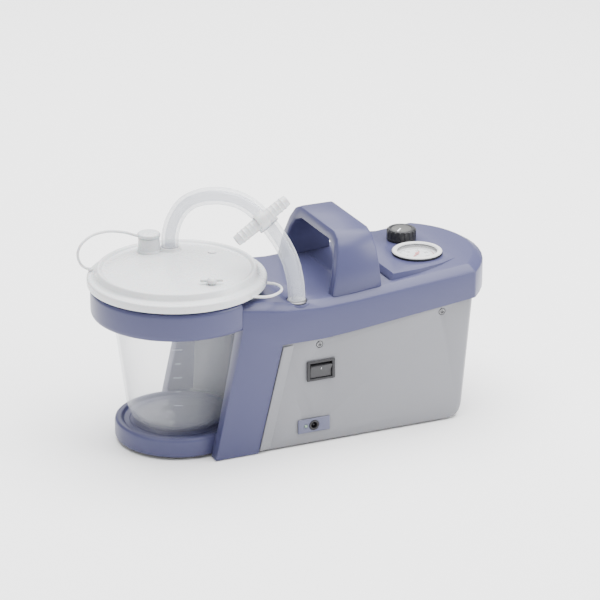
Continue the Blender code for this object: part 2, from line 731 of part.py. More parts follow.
def make_jar():
    top = jar_rim_top
    straight = jar_rim_low - 4 * mm
    r = jar_top_radius
    low = jar_bottom
    slim = r - 10.1 * mm        # radius above the rounded foot
    outline = [(r - jar_wall + 0.2 * mm, top), (rim_radius, top), (rim_radius, jar_rim_low),
               (r + 0.3 * mm, jar_rim_low), (r, straight), (slim, low + 30.4 * mm),
               (slim - 1.2 * mm, low + 20 * mm), (slim - 2.8 * mm, low + 11.5 * mm),
               (slim - 6.2 * mm, low + 4.4 * mm), (jar_base_radius, low), (0, low),
               (0, low + 2.6 * mm), (jar_base_radius - 1 * mm, low + 2.8 * mm),
               (slim - 7.6 * mm, low + 6.6 * mm), (slim - 4.6 * mm, low + 13 * mm),
               (slim - 3.1 * mm, low + 21 * mm), (slim - 2.0 * mm, low + 31 * mm),
               (r - jar_wall, straight)]
    # starts on the axis, so that the outline runs from the axis outwards and back
    turn = outline.index((0, low + 2.6 * mm))
    outline = outline[turn:] + outline[:turn]
    finish(turned("jar", outline, steps=40), "clear_plastic")


def make_lid():
    r = lid_radius
    z = lid_z
    plug = jar_top_radius - jar_wall - 0.6 * mm
    lid = turned("jar_lid", [(0, 146.8 * mm + z), (30 * mm, 146.2 * mm + z),
                             (r - 13 * mm, 144.8 * mm + z),
                             (r - 11 * mm, 145.8 * mm + z), (r - 9.4 * mm, 146.4 * mm + z),
                             (r - 7.9 * mm, 145.6 * mm + z), (r - 6.2 * mm, 141 * mm + z),
                             (r - 4 * mm, 139.7 * mm + z), (r - 1 * mm, 139.2 * mm + z),
                             (r, 138 * mm + z), (r, 133.4 * mm + z), (r - 0.6 * mm, 132.6 * mm + z),
                             (r - 3.4 * mm, 132.6 * mm + z), (r - 3.4 * mm, 136.2 * mm + z),
                             (plug + 0.3 * mm, 136.2 * mm + z), (plug, 127 * mm + z),
                             (plug - 1.8 * mm, 127 * mm + z), (plug - 2 * mm, 141.5 * mm + z),
                             (0, 144 * mm + z)], steps=44)
    hx, hy = hose_port
    cx, cy = capped_port
    vx, vy = vent_place
    join(lid, rods("hose_boss", [((hx, hy, 142.5 * mm + z), (hx, hy, 148.5 * mm + z), 8.5 * mm)]))
    join(lid, rods("float_spigot", [((hx, hy, 136.4 * mm + z), (hx, hy, 145 * mm + z), 5.9 * mm)],
                   sides=20))
    join(lid, rods("capped_boss", [((cx, cy, 142.5 * mm + z), (cx, cy, 158 * mm + z), 8.7 * mm)]))
    join(lid, rods("lid_mark", [((38.1 * mm, 18.7 * mm, 143.5 * mm + z),
                                 (38.1 * mm, 18.7 * mm, 146.9 * mm + z), 3.4 * mm)],
                   sides=20))
    cut(lid, rods("hose_bore", [((hx, hy, 120 * mm), (hx, hy, 170 * mm), 2.8 * mm)], sides=20),
        rods("capped_bore", [((cx, cy, 120 * mm), (cx, cy, 170 * mm), 6.6 * mm)], sides=20),
        rods("vent_bore", [((vx, vy, 120 * mm), (vx, vy, 170 * mm), 2.7 * mm)], sides=16))
    finish(lid, "milky_plastic")
    gasket = turned("lid_gasket", [(rim_radius - 0.4 * mm, 135.9 * mm + z),
                                   (rim_radius - 0.4 * mm, jar_rim_top + clear),
                                   (plug + 1 * mm, jar_rim_top + clear), (plug + 1 * mm, 135.9 * mm + z)],
                    steps=36)
    finish(gasket, "silicone")


def on_lid(spots):
    """Spots in millimetres on a lid of 71.8 mm radius, moved to this lid's size and height."""
    spread = lid_radius / 71.8
    return [(x * spread, y * spread, z * mm + lid_z) for x, y, z in spots]


def make_port_cap():
    x, y = capped_port
    z = lid_z
    cap = turned("port_cap", [(0, 161.6 * mm + z), (8 * mm, 161.5 * mm + z), (9.3 * mm, 160.7 * mm + z),
                              (9.3 * mm, 158.3 * mm + z), (6.2 * mm, 158.3 * mm + z),
                              (5.9 * mm, 151 * mm + z),
                              (0, 151 * mm + z)], place=capped_port, steps=24)
    finish(cap, "milky_plastic")
    route = [(x - 9.6 * mm, y, 160 * mm + z)]
    route += on_lid(((-32, 41.5, 166), (-50, 39, 168.5), (-62.5, 36.5, 165.5), (-70, 34.6, 158),
                     (-69.8, 34.4, 149.5), (-65.2, 34.2, 143), (-60.9, 33.9, 141.3)))
    tether = as_mesh(tube("cap_tether", smooth_route(route, 5 * mm), 1.1 * mm))
    eye_low, eye_high = on_lid(((-60.7, 33.8, 140.2), (-60.7, 33.8, 141.8)))
    join(tether, rods("tether_eye", [(eye_low, eye_high, 2.2 * mm)], sides=12))
    finish(tether, "milky_plastic")


def make_vent_plug():
    x, y = vent_place
    z = lid_z
    plug = turned("vent_plug", [(0, 151.2 * mm + z), (2.2 * mm, 150.8 * mm + z),
                                (3.8 * mm, 149.2 * mm + z),
                                (4.3 * mm, 146.9 * mm + z), (2.4 * mm, 146.9 * mm + z),
                                (2.3 * mm, 139 * mm + z),
                                (0, 139 * mm + z)], place=vent_place, steps=20)
    join(plug, rods("plug_stub", [((x - 9 * mm, y + 3 * mm, 148.6 * mm + z),
                                   (x + 9 * mm, y - 3 * mm, 148.6 * mm + z),
                                   1.5 * mm)], sides=10))
    finish(plug, "milky_plastic")
    route = on_lid(((61.4, -39.6, 136), (66.2, -44.5, 136), (67.4, -53.5, 135.6), (61, -62, 135.4),
                    (49.5, -66, 135.4), (39.2, -62.4, 135.8)))
    finish(tube("lid_loop", smooth_route(route, 4 * mm), 1.1 * mm), "milky_plastic")


def make_float():
    place = hose_port
    z = lid_z
    cage = turned("float_cage", [(7.6 * mm, 140.6 * mm + z), (7.6 * mm, 110 * mm + z),
                                 (2 * mm, 110 * mm + z),
                                 (2 * mm, 112 * mm + z), (6.2 * mm, 112 * mm + z),
                                 (6.2 * mm, 140.6 * mm + z)],
                  place=place, steps=20)
    x, y = place
    cut(cage, boxes("cage_slot_x", [((x - 12 * mm, y - 2.4 * mm, 114 * mm + z),
                                     (x + 12 * mm, y + 2.4 * mm, 131 * mm + z))]),
        boxes("cage_slot_y", [((x - 2.4 * mm, y - 12 * mm, 114 * mm + z),
                               (x + 2.4 * mm, y + 12 * mm, 131 * mm + z))]))
    finish(cage, "milky_plastic")
    bm = bmesh.new()
    bmesh.ops.create_uvsphere(bm, u_segments=12, v_segments=8, radius=5.3 * mm,
                              matrix=Matrix.Translation((x, y, 117.6 * mm + z)))
    finish(keep("float_ball", mesh_from("float_ball", bm)), "dial_white", pivot=(x, y, 117.6 * mm + z))
    seal = turned("float_seal", [(5.7 * mm, 136.1 * mm + z), (5.7 * mm, 134.6 * mm + z),
                                 (3 * mm, 134.6 * mm + z),
                                 (3 * mm, 136.1 * mm + z)], place=place, steps=24)
    finish(seal, "rubber")


# Hose from the lid to the housing, with a connector parked on it

hose_route = (
    (0.0099, 0.0391, 0.1489), (0.0100, 0.0390, 0.1570), (0.0114, 0.0377, 0.1658),
              (0.0141, 0.0350, 0.1750),
    (0.0188, 0.0290, 0.1852), (0.0256, 0.0205, 0.1926), (0.0347, 0.0092, 0.1972),
              (0.0438, -0.0022, 0.1986),
    (0.0522, -0.0128, 0.1966), (0.0595, -0.0218, 0.1909), (0.0652, -0.0290, 0.1832),
              (0.0706, -0.0358, 0.1742),
    (0.0751, -0.0413, 0.1648), (0.0786, -0.0455, 0.1540), (0.0808, -0.0483, 0.1420),
              (0.0818, -0.0497, 0.1310),
    (0.0820, -0.0500, 0.1227),
)
clip_on_hose = Vector((0.0652, -0.0290, 0.1832))
hose_direction = Vector((0.459, -0.575, -0.674)).normalized()
connector_middle = Vector((0.0565, -0.0400, 0.1892))
connector_direction = Vector((0.837, 0.0, 0.547)).normalized()
connector_half = 25.8 * mm


def make_hose():
    finish(tube("vacuum_hose", smooth_route(hose_route, 8 * mm), hose_radius, resolution=4), "silicone")
    near = connector_middle - connector_direction * connector_half
    far = connector_middle + connector_direction * connector_half
    connector = rods("catheter_connector", [(near, connector_middle, 4.5 * mm, 5.4 * mm)], sides=20)
    join(connector, rods("connector_far", [(connector_middle - connector_direction * 0.5 * mm, far,
                                            5.4 * mm, 4.5 * mm)],
                         sides=20))
    beyond = connector_direction * 5 * mm
    cut(connector, rods("connector_bore", [(near - beyond, far + beyond, 2.8 * mm)], sides=20))
    finish(connector, "milky_plastic")
    grip = hose_direction * 4 * mm
    saddle = connector_direction * 4 * mm
    clip = rods("hose_clip", [(clip_on_hose - grip, clip_on_hose + grip, hose_radius + 2 * mm)], sides=20)
    join(clip, rods("clip_saddle", [(connector_middle - saddle, connector_middle + saddle, 7.2 * mm)],
                    sides=20))
    cut(clip, rods("clip_hose_bore", [(clip_on_hose - grip * 3, clip_on_hose + grip * 3,
                                       hose_radius + 0.5 * mm)],
                   sides=20),
        rods("clip_connector_bore", [(connector_middle - saddle * 2, connector_middle + saddle * 2,
                                      5.8 * mm)], sides=20))
    finish(clip, "milky_plastic")


def make_socket():
    nipple = turned("hose_nipple", [(0, 122.4 * mm), (7.4 * mm, 122.4 * mm), (8.2 * mm, 121.8 * mm),
                                    (8.2 * mm, 120.8 * mm), (4.5 * mm, 120.8 * mm), (4.5 * mm, 108 * mm),
                                    (3 * mm, 107 * mm), (3.4 * mm, 103.8 * mm), (0, 103.8 * mm)],
                    place=socket_place, steps=20)
    x, y = socket_place
    cut(nipple, rods("nipple_bore", [((x, y, 100 * mm), (x, y, 130 * mm), 1.9 * mm)], sides=16))
    finish(nipple, "dark_grey")


# Instruments on the deck

def make_gauge():
    p = plateau_top
    x, y = gauge_place
    case = turned("gauge_case", [(0, p - 2.1 * mm), (17.8 * mm, p - 2.1 * mm), (17.8 * mm, p + 1.4 * mm),
                                 (20.6 * mm, p + 1.4 * mm), (20.6 * mm, p + clear),
                                 (18.4 * mm, p + clear),
                                 (18.4 * mm, p - 19 * mm), (4 * mm, p - 19.4 * mm), (4 * mm, p - 27 * mm),
                                 (0, p - 27 * mm)], place=gauge_place, steps=28)
    finish(case, "black_plastic")
    finish(turned("gauge_dial", [(0, p - 1.2 * mm), (17.5 * mm, p - 1.2 * mm), (17.5 * mm, p - 1.8 * mm),
                                 (0, p - 1.8 * mm)], place=gauge_place, steps=28), "dial_white")
    bm = bmesh.new()
    add_rod(bm, (x, y, p - 0.9 * mm), (x, y, p + 0.3 * mm), 1.6 * mm, sides=16)
    needle = keep("gauge_needle", mesh_from("gauge_needle", bm))
    hand = prism("needle_hand", [(-5 * mm, -0.7 * mm), (14 * mm, -0.3 * mm), (14 * mm, 0.3 * mm),
                                 (-5 * mm, 0.7 * mm)], "Z", p - 0.6 * mm, p)
    hand.data.transform(Matrix.Translation((x, y, 0)) @ Matrix.Rotation(needle_rest, 4, "Z"))
    join(needle, hand)
    finish(needle, "needle_red", pivot=(x, y, p))
    finish(turned("gauge_lens", [(0, p + 1.5 * mm), (17.5 * mm, p + 1.5 * mm), (17.5 * mm, p + 0.6 * mm),
                                 (0, p + 0.6 * mm)], place=gauge_place, steps=28), "clear_plastic")
    finish(turned("gauge_bezel", [(17.3 * mm, p + 3.2 * mm), (19.6 * mm, p + 3.2 * mm),
                                  (20.6 * mm, p + 2.4 * mm),
                                  (20.6 * mm, p + 1.8 * mm), (16.4 * mm, p + 1.8 * mm),
                                  (16.4 * mm, p + 2.6 * mm)],
                  place=gauge_place, steps=28), "dial_white")


def make_regulator():
    p = plateau_top
    x, y = knob_place
    flange = p - wall - 3 * mm  # under the panel
    body = turned("regulator_body", [(5 * mm, p + 3 * mm), (5 * mm, flange), (9 * mm, flange),
                                     (9 * mm, p - 30 * mm), (4 * mm, p - 31 * mm), (4 * mm, p - 38 * mm),
                                     (2.7 * mm, p - 38 * mm), (2.7 * mm, p + 3 * mm)], place=knob_place,
                  steps=20)
    finish(body, "brass")
    finish(rods("regulator_stem", [((x, y, p - 15 * mm), (x, y, p + 9.5 * mm), 2.4 * mm)], sides=20),
           "steel",
           pivot=(x, y, p))
    knob = turned("vacuum_knob", [(0, p + 11.8 * mm), (10.6 * mm, p + 11.8 * mm),
                                  (11.5 * mm, p + 11 * mm),
                                  (12.3 * mm, p + 2 * mm), (12.3 * mm, p + 0.5 * mm),
                                  (9.4 * mm, p + 0.5 * mm),
                                  (9.4 * mm, p + 4.6 * mm), (2.8 * mm, p + 4.6 * mm),
                                  (2.8 * mm, p + 9.9 * mm),
                                  (0, p + 9.9 * mm)], place=knob_place, steps=36)
    flutes = []
    for i in range(18):
        angle = 2 * pi * i / 18
        fx = x + 13.1 * mm * cos(angle)
        fy = y + 13.1 * mm * sin(angle)
        flutes.append(((fx, fy, p + 2.2 * mm), (fx, fy, p + 14 * mm), 1.3 * mm))
    cut(knob, rods("knob_flutes", flutes, sides=8))
    join(knob, boxes("knob_pointer", [((x - 9.5 * mm, y - 1 * mm, p + 11 * mm),
                                       (x + 9.5 * mm, y + 1 * mm, p + 13 * mm))]))
    finish(knob, "black_plastic", pivot=(x, y, p))


# Switch and charging inlet in the near side of the shell

def make_switch():
    face = body_half - skirt_overhang
    x, z = switch_place
    frame = boxes("switch_frame", [((x - 12.3 * mm, -face - 1.9 * mm, z - 8.6 * mm),
                                    (x + 12.3 * mm, -face - clear, z + 8.6 * mm))],
                  bevel=0.5 * mm)
    join(frame, boxes("switch_body", [((x - 10.8 * mm, -face - 1 * mm, z - 7.4 * mm),
                                       (x + 10.8 * mm, -face + 18.5 * mm, z + 7.4 * mm))]))
    cut(frame, boxes("switch_well", [((x - 9.7 * mm, -face - 5 * mm, z - 6.6 * mm),
                                      (x + 9.7 * mm, -face + 11 * mm, z + 6.6 * mm))]))
    finish(frame, "black_plastic")
    pivot = (x, -face + 4.5 * mm, z)
    rocker = prism("switch_rocker", [(-6.5 * mm, 5.2 * mm), (-5.3 * mm, 0), (-6.5 * mm, -5.2 * mm),
                                     (-2 * mm, -5.2 * mm),
                                     (3 * mm, -1.5 * mm), (3 * mm, 1.5 * mm), (-2 * mm, 5.2 * mm)],
                   "X", -9.3 * mm, 9.3 * mm, bevel=0.4 * mm)
    rocker.data.transform(Matrix.Translation(pivot) @ Matrix.Rotation(rocker_lean, 4, "X"))
    finish(rocker, "dark_grey", pivot=pivot)
    back = -face + 18.8 * mm
    contacts = boxes("switch_contacts", [((x - 9 * mm, back, z - 4 * mm),
                                          (x + 9 * mm, back + 1.6 * mm, z + 4 * mm))])
    for i in range(3):
        bx = x + (i - 1) * 6 * mm
        join(contacts, boxes(f"blade_{i}", [((bx - 0.4 * mm, back + 1 * mm, z - 2.4 * mm),
                                             (bx + 0.4 * mm, back + 8 * mm, z + 2.4 * mm))]))
    finish(contacts, "brass")


def make_inlet():
    face = body_half - skirt_overhang
    x, z = inlet_place
    plate = boxes("inlet_plate", [((x - 13.9 * mm, -face - 1.5 * mm, z - 5.9 * mm),
                                   (x + 13.9 * mm, -face - clear, z + 5.9 * mm))],
                  bevel=0.4 * mm)
    cut(plate, rods("inlet_plate_holes", [((x, -face - 5 * mm, z), (x, -face + 5 * mm, z), 4.5 * mm),
                                          ((lamp_x, -face - 5 * mm, z), (lamp_x, -face + 5 * mm, z),
                                           1.6 * mm)], sides=24))
    finish(plate, "plate_grey")
    jack = rods("dc_jack", [((x, -face - 1.8 * mm, z), (x, -face + 12 * mm, z), 4.2 * mm)], sides=20)
    cut(jack, rods("jack_bore", [((x, -face - 5 * mm, z), (x, -face + 9 * mm, z), 2.7 * mm)], sides=24))
    join(jack, rods("jack_pin", [((x, -face - 0.2 * mm, z), (x, -face + 9.5 * mm, z), 0.9 * mm)],
                    sides=12))
    finish(jack, "black_plastic")
    lamp = rods("charge_lamp", [((lamp_x, -face - 2.2 * mm, z), (lamp_x, -face - 1.2 * mm, z), 0.8 * mm,
                                 1.3 * mm)], sides=16)
    join(lamp, rods("lamp_body", [((lamp_x, -face - 1.3 * mm, z), (lamp_x, -face + 6 * mm, z), 1.3 * mm)],
                    sides=16))
    finish(lamp, "lamp_green")


# Pump, motor, battery and board inside the shell

def make_pump():
    x, y, z = pump_x, motor_y, motor_z
    body = boxes("pump_body", [((x - 17 * mm, y - 21 * mm, 10.9 * mm),
                                (x + 17 * mm, y + 21 * mm, 64 * mm))], bevel=1 * mm)
    cut(body, boxes("crank_room", [((x - 30 * mm, y - 18 * mm, z - 20 * mm),
                                    (x + 12 * mm, y + 18 * mm, z + 20 * mm))]),
        rods("shaft_hole", [((x, y, z), (x + 30 * mm, y, z), 2.9 * mm)], sides=20),
        rods("rod_hole", [((x, y, z + 10 * mm), (x, y, 80 * mm), 8.5 * mm)], sides=20))
    finish(body, "aluminium")
    finish(rods("diaphragm", [((x, y, 64.3 * mm), (x, y, 66 * mm), 16 * mm)], sides=36), "rubber")
    plate = boxes("valve_plate", [((x - 17 * mm, y - 17 * mm, 66.3 * mm),
                                   (x + 17 * mm, y + 17 * mm, 69.3 * mm))], bevel=0.6 * mm)
    cut(plate, rods("valve_holes", [((x, y - 7 * mm, 60 * mm), (x, y - 7 * mm, 75 * mm), 2 * mm),
                                    ((x, y + 7 * mm, 60 * mm), (x, y + 7 * mm, 75 * mm), 2 * mm)],
                    sides=16))
    finish(plate, "aluminium")
    head = boxes("pump_head", [((x - 17 * mm, y - 17 * mm, 69.6 * mm),
                                (x + 17 * mm, y + 17 * mm, 84 * mm))], bevel=1.6 * mm)
    join(head, rods("inlet_port", [((x - 22 * mm, y - 10 * mm, 77 * mm),
                                    (x - 15 * mm, y - 10 * mm, 77 * mm), 2.6 * mm)], sides=20))
    join(head, rods("outlet_port", [((x + 15 * mm, y + 9 * mm, 77 * mm),
                                     (x + 22 * mm, y + 9 * mm, 77 * mm), 2.6 * mm)], sides=20))
    finish(head, "dark_grey")
    plate_x = x + 73 * mm
    bracket = boxes("pump_bracket", [((x - 21 * mm, y - 23 * mm, 8.6 * mm),
                                      (plate_x, y + 23 * mm, 10.6 * mm))])
    saddle = boxes("motor_saddle", [((x + 32 * mm, y - 12 * mm, 10 * mm),
                                     (x + 62 * mm, y + 12 * mm, 26 * mm))])
    cut(saddle, rods("saddle_bore", [((x + 20 * mm, y, z), (x + 80 * mm, y, z), 19.3 * mm)], sides=40))
    join(bracket, saddle)
    finish(bracket, "steel")
    for name, mx in (("front_mount", x - 14 * mm), ("rear_mount", plate_x - 9 * mm)):
        low = (mx - 4 * mm, y - 20 * mm, plate_high + clear)
        high = (mx + 4 * mm, y + 20 * mm, 8.3 * mm)
        finish(boxes(name, [(low, high)], bevel=0.5 * mm), "rubber")


def make_drive():
    x, y, z = pump_x, motor_y, motor_z
    can = rods("motor_can", [((x + 19.5 * mm, y, z), (x + 75 * mm, y, z), 19 * mm)], sides=40)
    cut(can, rods("motor_bore", [((x, y, z), (x + 90 * mm, y, z), 2.9 * mm)], sides=20))
    finish(can, "steel")
    pin_z = z - crank_throw
    finish(rods("motor_shaft", [((x + 7.4 * mm, y, z), (x + 83 * mm, y, z), 2.5 * mm)], sides=20),
           "steel", pivot=(x, y, z))
    crank = rods("eccentric", [((x - 4 * mm, y, pin_z), (x + 7 * mm, y, pin_z), 8 * mm)], sides=32)
    finish(crank, "steel", pivot=(x, y, z))
    bearing = rods("crank_bearing", [((x - 3.5 * mm, y, pin_z), (x + 3.5 * mm, y, pin_z), 11 * mm)],
                   sides=32)
    cut(bearing, rods("bearing_bore", [((x - 10 * mm, y, pin_z), (x + 10 * mm, y, pin_z), 8.3 * mm)],
                      sides=32))
    finish(bearing, "steel", pivot=(x, y, pin_z))
    rod = rods("connecting_rod", [((x - 3.5 * mm, y, pin_z), (x + 3.5 * mm, y, pin_z), 14 * mm)],
               sides=32)
    join(rod, rods("rod_stem", [((x, y, pin_z + 12 * mm), (x, y, 57.5 * mm), 3 * mm)], sides=20))
    cut(rod, rods("rod_bore", [((x - 10 * mm, y, pin_z), (x + 10 * mm, y, pin_z), 11.3 * mm)], sides=32))
    finish(rod, "aluminium", pivot=(x, y, pin_z))


def make_inner_hoses():
    sx, sy = socket_place
    gx, gy = gauge_place
    x, y = pump_x, motor_y
    route = [(sx, sy, 103.4 * mm), (sx + 0.5 * mm, sy + 1.5 * mm, 93 * mm),
             (sx + 8 * mm, sy + 7 * mm, 82 * mm),
             (x - 29 * mm, y - 10.2 * mm, 77 * mm), (x - 22.4 * mm, y - 10 * mm, 77 * mm)]
    finish(tube("pump_inlet_hose", smooth_route(route, 6 * mm), 3.4 * mm), "silicone")
    top = plateau_top - 27.4 * mm
    route = [(gx, gy, top), (gx - 1.5 * mm, gy, top - 9 * mm), (gx - 12 * mm, gy + 1 * mm, top - 19 * mm),
             (gx - 30 * mm, gy + 2 * mm, top - 26 * mm), (x + 29 * mm, y + 9 * mm, 77 * mm),
             (x + 22.4 * mm, y + 9 * mm, 77 * mm)]
    finish(tube("gauge_hose", smooth_route(route, 6 * mm), 2.6 * mm), "silicone")


def make_battery():
    y = inner_half - 46.9 * mm
    battery = boxes("battery_pack", [((84 * mm, y, 6.1 * mm), (182 * mm, y + 43 * mm, 70 * mm))],
                    bevel=1.2 * mm)
    join(battery, boxes("battery_poles", [((92 * mm, y + 8 * mm, 68 * mm),
                                           (96 * mm, y + 16 * mm, 74 * mm)),
                                          ((170 * mm, y + 8 * mm, 68 * mm),
                                           (174 * mm, y + 16 * mm, 74 * mm))]))
    finish(battery, "dark_grey")
    board = boxes("charger_board", [((72 * mm, -34 * mm, 10 * mm), (108 * mm, 0, 11.6 * mm))])
    join(board, boxes("board_transformer", [((78 * mm, -30 * mm, 11 * mm),
                                             (90 * mm, -18 * mm, 24 * mm))]),
         boxes("board_sink", [((95 * mm, -14 * mm, 11 * mm), (104 * mm, -4 * mm, 20 * mm))]),
         rods("board_can", [((100 * mm, -26 * mm, 11 * mm), (100 * mm, -26 * mm, 22 * mm), 4 * mm)],
              sides=20),
         rods("board_posts", [((px, py, plate_high + clear), (px, py, 10.5 * mm), 2 * mm)
                              for px in (75 * mm, 105 * mm) for py in (-31 * mm, -3 * mm)], sides=12))
    finish(board, "board_green")


make_top_cover()
make_carry_handle()
make_jar_collar()
make_jar_tray()
make_lower_shell()
make_base_plate()
make_feet()
make_screws()
make_jar()
make_lid()
make_port_cap()
make_vent_plug()
make_float()
make_hose()
make_socket()
make_gauge()
make_regulator()
make_switch()
make_inlet()
make_pump()
make_drive()
make_inner_hoses()
make_battery()
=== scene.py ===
import json
import bpy
from math import cos, pi, radians, sin
from mathutils import Matrix, Vector


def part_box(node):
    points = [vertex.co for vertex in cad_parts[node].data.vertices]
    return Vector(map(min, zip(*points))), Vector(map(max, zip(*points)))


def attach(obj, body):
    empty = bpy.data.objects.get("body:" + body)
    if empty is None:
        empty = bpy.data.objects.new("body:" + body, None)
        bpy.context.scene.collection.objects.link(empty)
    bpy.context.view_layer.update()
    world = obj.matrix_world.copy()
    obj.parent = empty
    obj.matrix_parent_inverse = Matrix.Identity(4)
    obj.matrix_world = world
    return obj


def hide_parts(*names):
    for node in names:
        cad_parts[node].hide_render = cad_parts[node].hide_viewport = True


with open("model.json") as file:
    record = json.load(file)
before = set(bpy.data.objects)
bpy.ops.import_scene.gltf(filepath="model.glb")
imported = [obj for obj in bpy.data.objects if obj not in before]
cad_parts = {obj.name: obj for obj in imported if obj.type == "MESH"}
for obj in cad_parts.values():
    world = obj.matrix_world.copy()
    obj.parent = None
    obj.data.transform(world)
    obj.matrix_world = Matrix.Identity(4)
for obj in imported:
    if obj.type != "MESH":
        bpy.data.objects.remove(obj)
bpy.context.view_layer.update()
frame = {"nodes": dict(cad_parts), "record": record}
nodes = frame["nodes"]
mm = 0.001


# Places that the pieces are set out from

def middleOf(node):
    low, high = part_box(node)
    return (low + high) / 2


def sizeOf(node):
    low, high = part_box(node)
    return high - low


jarX = middleOf("jar").x
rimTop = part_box("jar")[1].z                 # the jar's rim, which the lid sits on
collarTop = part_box("jar_collar")[1].z
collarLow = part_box("jar_collar")[0].z
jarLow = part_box("jar")[0].z
lidRadius = sizeOf("jar_lid").x / 2
gaugeAt = middleOf("gauge_bezel")
knobAt = middleOf("vacuum_knob")
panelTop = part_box("gauge_bezel")[0].z - 1.8 * mm
bodyOf = {node: body for body, members in frame["record"]["behaviour"]["bodies"].items() for node in members}
slotOf = {part["node"]: part["material_slot"] for part in frame["record"]["subparts"]}


# Camera

view = {"at": (-0.9142, -2.0860, 0.9788), "turn": (68.95, 0.0, -23.93), "lens": 180.5, "sensor": 36.0}
print("camera")
camera = bpy.data.objects.new("camera", bpy.data.cameras.new("camera"))
bpy.context.scene.collection.objects.link(camera)
camera.location = view["at"]
camera.rotation_euler = [radians(a) for a in view["turn"]]
camera.data.lens = view["lens"]
camera.data.sensor_width = view["sensor"]
camera.data.clip_start = 0.05
camera.data.clip_end = 50
bpy.context.scene.camera = camera


# Shader maths: a socket that can be added, multiplied and compared

class Wire:
    def __init__(self, recipe, socket):
        self.recipe = recipe
        self.socket = socket

    def sum(self, kind, first, second):
        return self.recipe.node("ShaderNodeMath", {"operation": kind}, {0: first, 1: second})

    def __add__(self, other):
        return self.sum("ADD", self, other)

    def __radd__(self, other):
        return self.sum("ADD", other, self)

    def __sub__(self, other):
        return self.sum("SUBTRACT", self, other)

    def __rsub__(self, other):
        return self.sum("SUBTRACT", other, self)

    def __mul__(self, other):
        return self.sum("MULTIPLY", self, other)

    def __rmul__(self, other):
        return self.sum("MULTIPLY", other, self)

    def __mod__(self, other):
        return self.sum("FLOORED_MODULO", self, other)

    def __lt__(self, other):
        return self.sum("LESS_THAN", self, other)

    def __gt__(self, other):
        return self.sum("GREATER_THAN", self, other)

    def bent(self, kind):
        return self.recipe.node("ShaderNodeMath", {"operation": kind}, {0: self})


class Recipe:
    def __init__(self, name, colour, **fixed):
        self.material = bpy.data.materials.new(name)
        self.material.use_nodes = True
        self.material.diffuse_color = (*colour, 1.0)
        self.tree = self.material.node_tree
        self.shader = self.tree.nodes["Principled BSDF"]
        self.colour = colour
        self.set("Base Color", (*colour, 1.0))
        for socket, value in fixed.items():
            self.set(socket.replace("_", " "), value)

    def node(self, kind, settings=None, sockets=None, out=0):
        made = self.tree.nodes.new(kind)
        for key, value in (settings or {}).items():
            setattr(made, key, value)
        for key, value in (sockets or {}).items():
            if isinstance(value, Wire):
                self.tree.links.new(value.socket, made.inputs[key])
            else:
                made.inputs[key].default_value = value
        return Wire(self, made.outputs[out])

    def set(self, socket, value):
        if isinstance(value, Wire):
            self.tree.links.new(value.socket, self.shader.inputs[socket])
        else:
            self.shader.inputs[socket].default_value = value

    def spot(self):
        return self.node("ShaderNodeTexCoord", out="Object")

    def noise(self, scale, detail=2.0, where=None):
        return self.node("ShaderNodeTexNoise", {}, {"Vector": where or self.spot(), "Scale": scale,
                                                    "Detail": detail})

    def blend(self, amount, first, second):
        mix = self.tree.nodes.new("ShaderNodeMix")
        mix.data_type = "RGBA"
        for slot, value in ((0, amount), (6, first), (7, second)):
            if isinstance(value, Wire):
                self.tree.links.new(value.socket, mix.inputs[slot])
            elif slot:
                mix.inputs[slot].default_value = (*value, 1.0)
            else:
                mix.inputs[slot].default_value = value
        return Wire(self, mix.outputs[2])

    def bump(self, height, depth, strength=1.0):
        self.set("Normal", self.node("ShaderNodeBump", {}, {"Height": height, "Distance": depth,
                                                            "Strength": strength}))

    def shaded(self, amount):
        return tuple(min(1.0, part * amount) for part in self.colour)


# Finishes, each in the measure of the real surface: grain is features per metre, depth is in metres

def mouldedPlastic(name, colour, rough, grain=1500, depth=0.00005, mottle=0.05, **fixed):
    finish = Recipe(name, colour, **fixed)
    cloud = finish.noise(28, 3)                 # slow drift of the pigment and of handling
    speck = finish.noise(900, 1)
    fine = finish.noise(grain, 2)               # spark-eroded tool texture
    amount = (cloud - 0.5) * 0.7 + (speck - 0.5) * 0.3 + 0.5
    finish.set("Base Color", finish.blend(amount, finish.shaded(1 - mottle), finish.shaded(1 + mottle)))
    finish.set("Roughness", rough + (cloud - 0.5) * 0.12 + (fine - 0.5) * 0.1)
    finish.bump(fine + speck * 0.3, depth, 0.5)
    return finish.material


def clearPlastic(name, colour, facing, edge, rough=0.06, ripple=0.00004):
    finish = Recipe(name, colour, Roughness=rough, IOR=1.49, Specular_IOR_Level=0.8)
    rim = finish.node("ShaderNodeLayerWeight", {}, {"Blend": 0.35}, out="Facing")
    haze = finish.noise(60, 2)
    finish.set("Alpha", facing + rim * rim * (edge - facing) + (haze - 0.5) * 0.04)
    finish.set("Roughness", rough + (haze - 0.5) * 0.04)
    finish.bump(finish.noise(90, 1), ripple, 0.4)
    return finish.material


def rubberFinish(name, colour, rough=0.75):
    finish = Recipe(name, colour)
    dust = finish.noise(240, 4)
    finish.set("Base Color", finish.blend(dust, finish.shaded(0.8), finish.shaded(1.7)))
    finish.set("Roughness", rough + (dust - 0.5) * 0.25)
    finish.bump(finish.noise(1900, 2), 0.00008, 0.6)
    return finish.material


def machinedMetal(name, colour, rough=0.3, stretch=(900, 900, 60)):
    finish = Recipe(name, colour, Metallic=1.0)
    streak = finish.node("ShaderNodeMapping", {}, {"Vector": finish.spot(), "Scale": stretch})
    lines = finish.noise(1.0, 3, streak)
    finish.set("Base Color", finish.blend(lines, finish.shaded(0.8), finish.shaded(1.1)))
    finish.set("Roughness", rough + (lines - 0.5) * 0.25)
    finish.bump(lines, 0.00002, 0.5)
    return finish.material


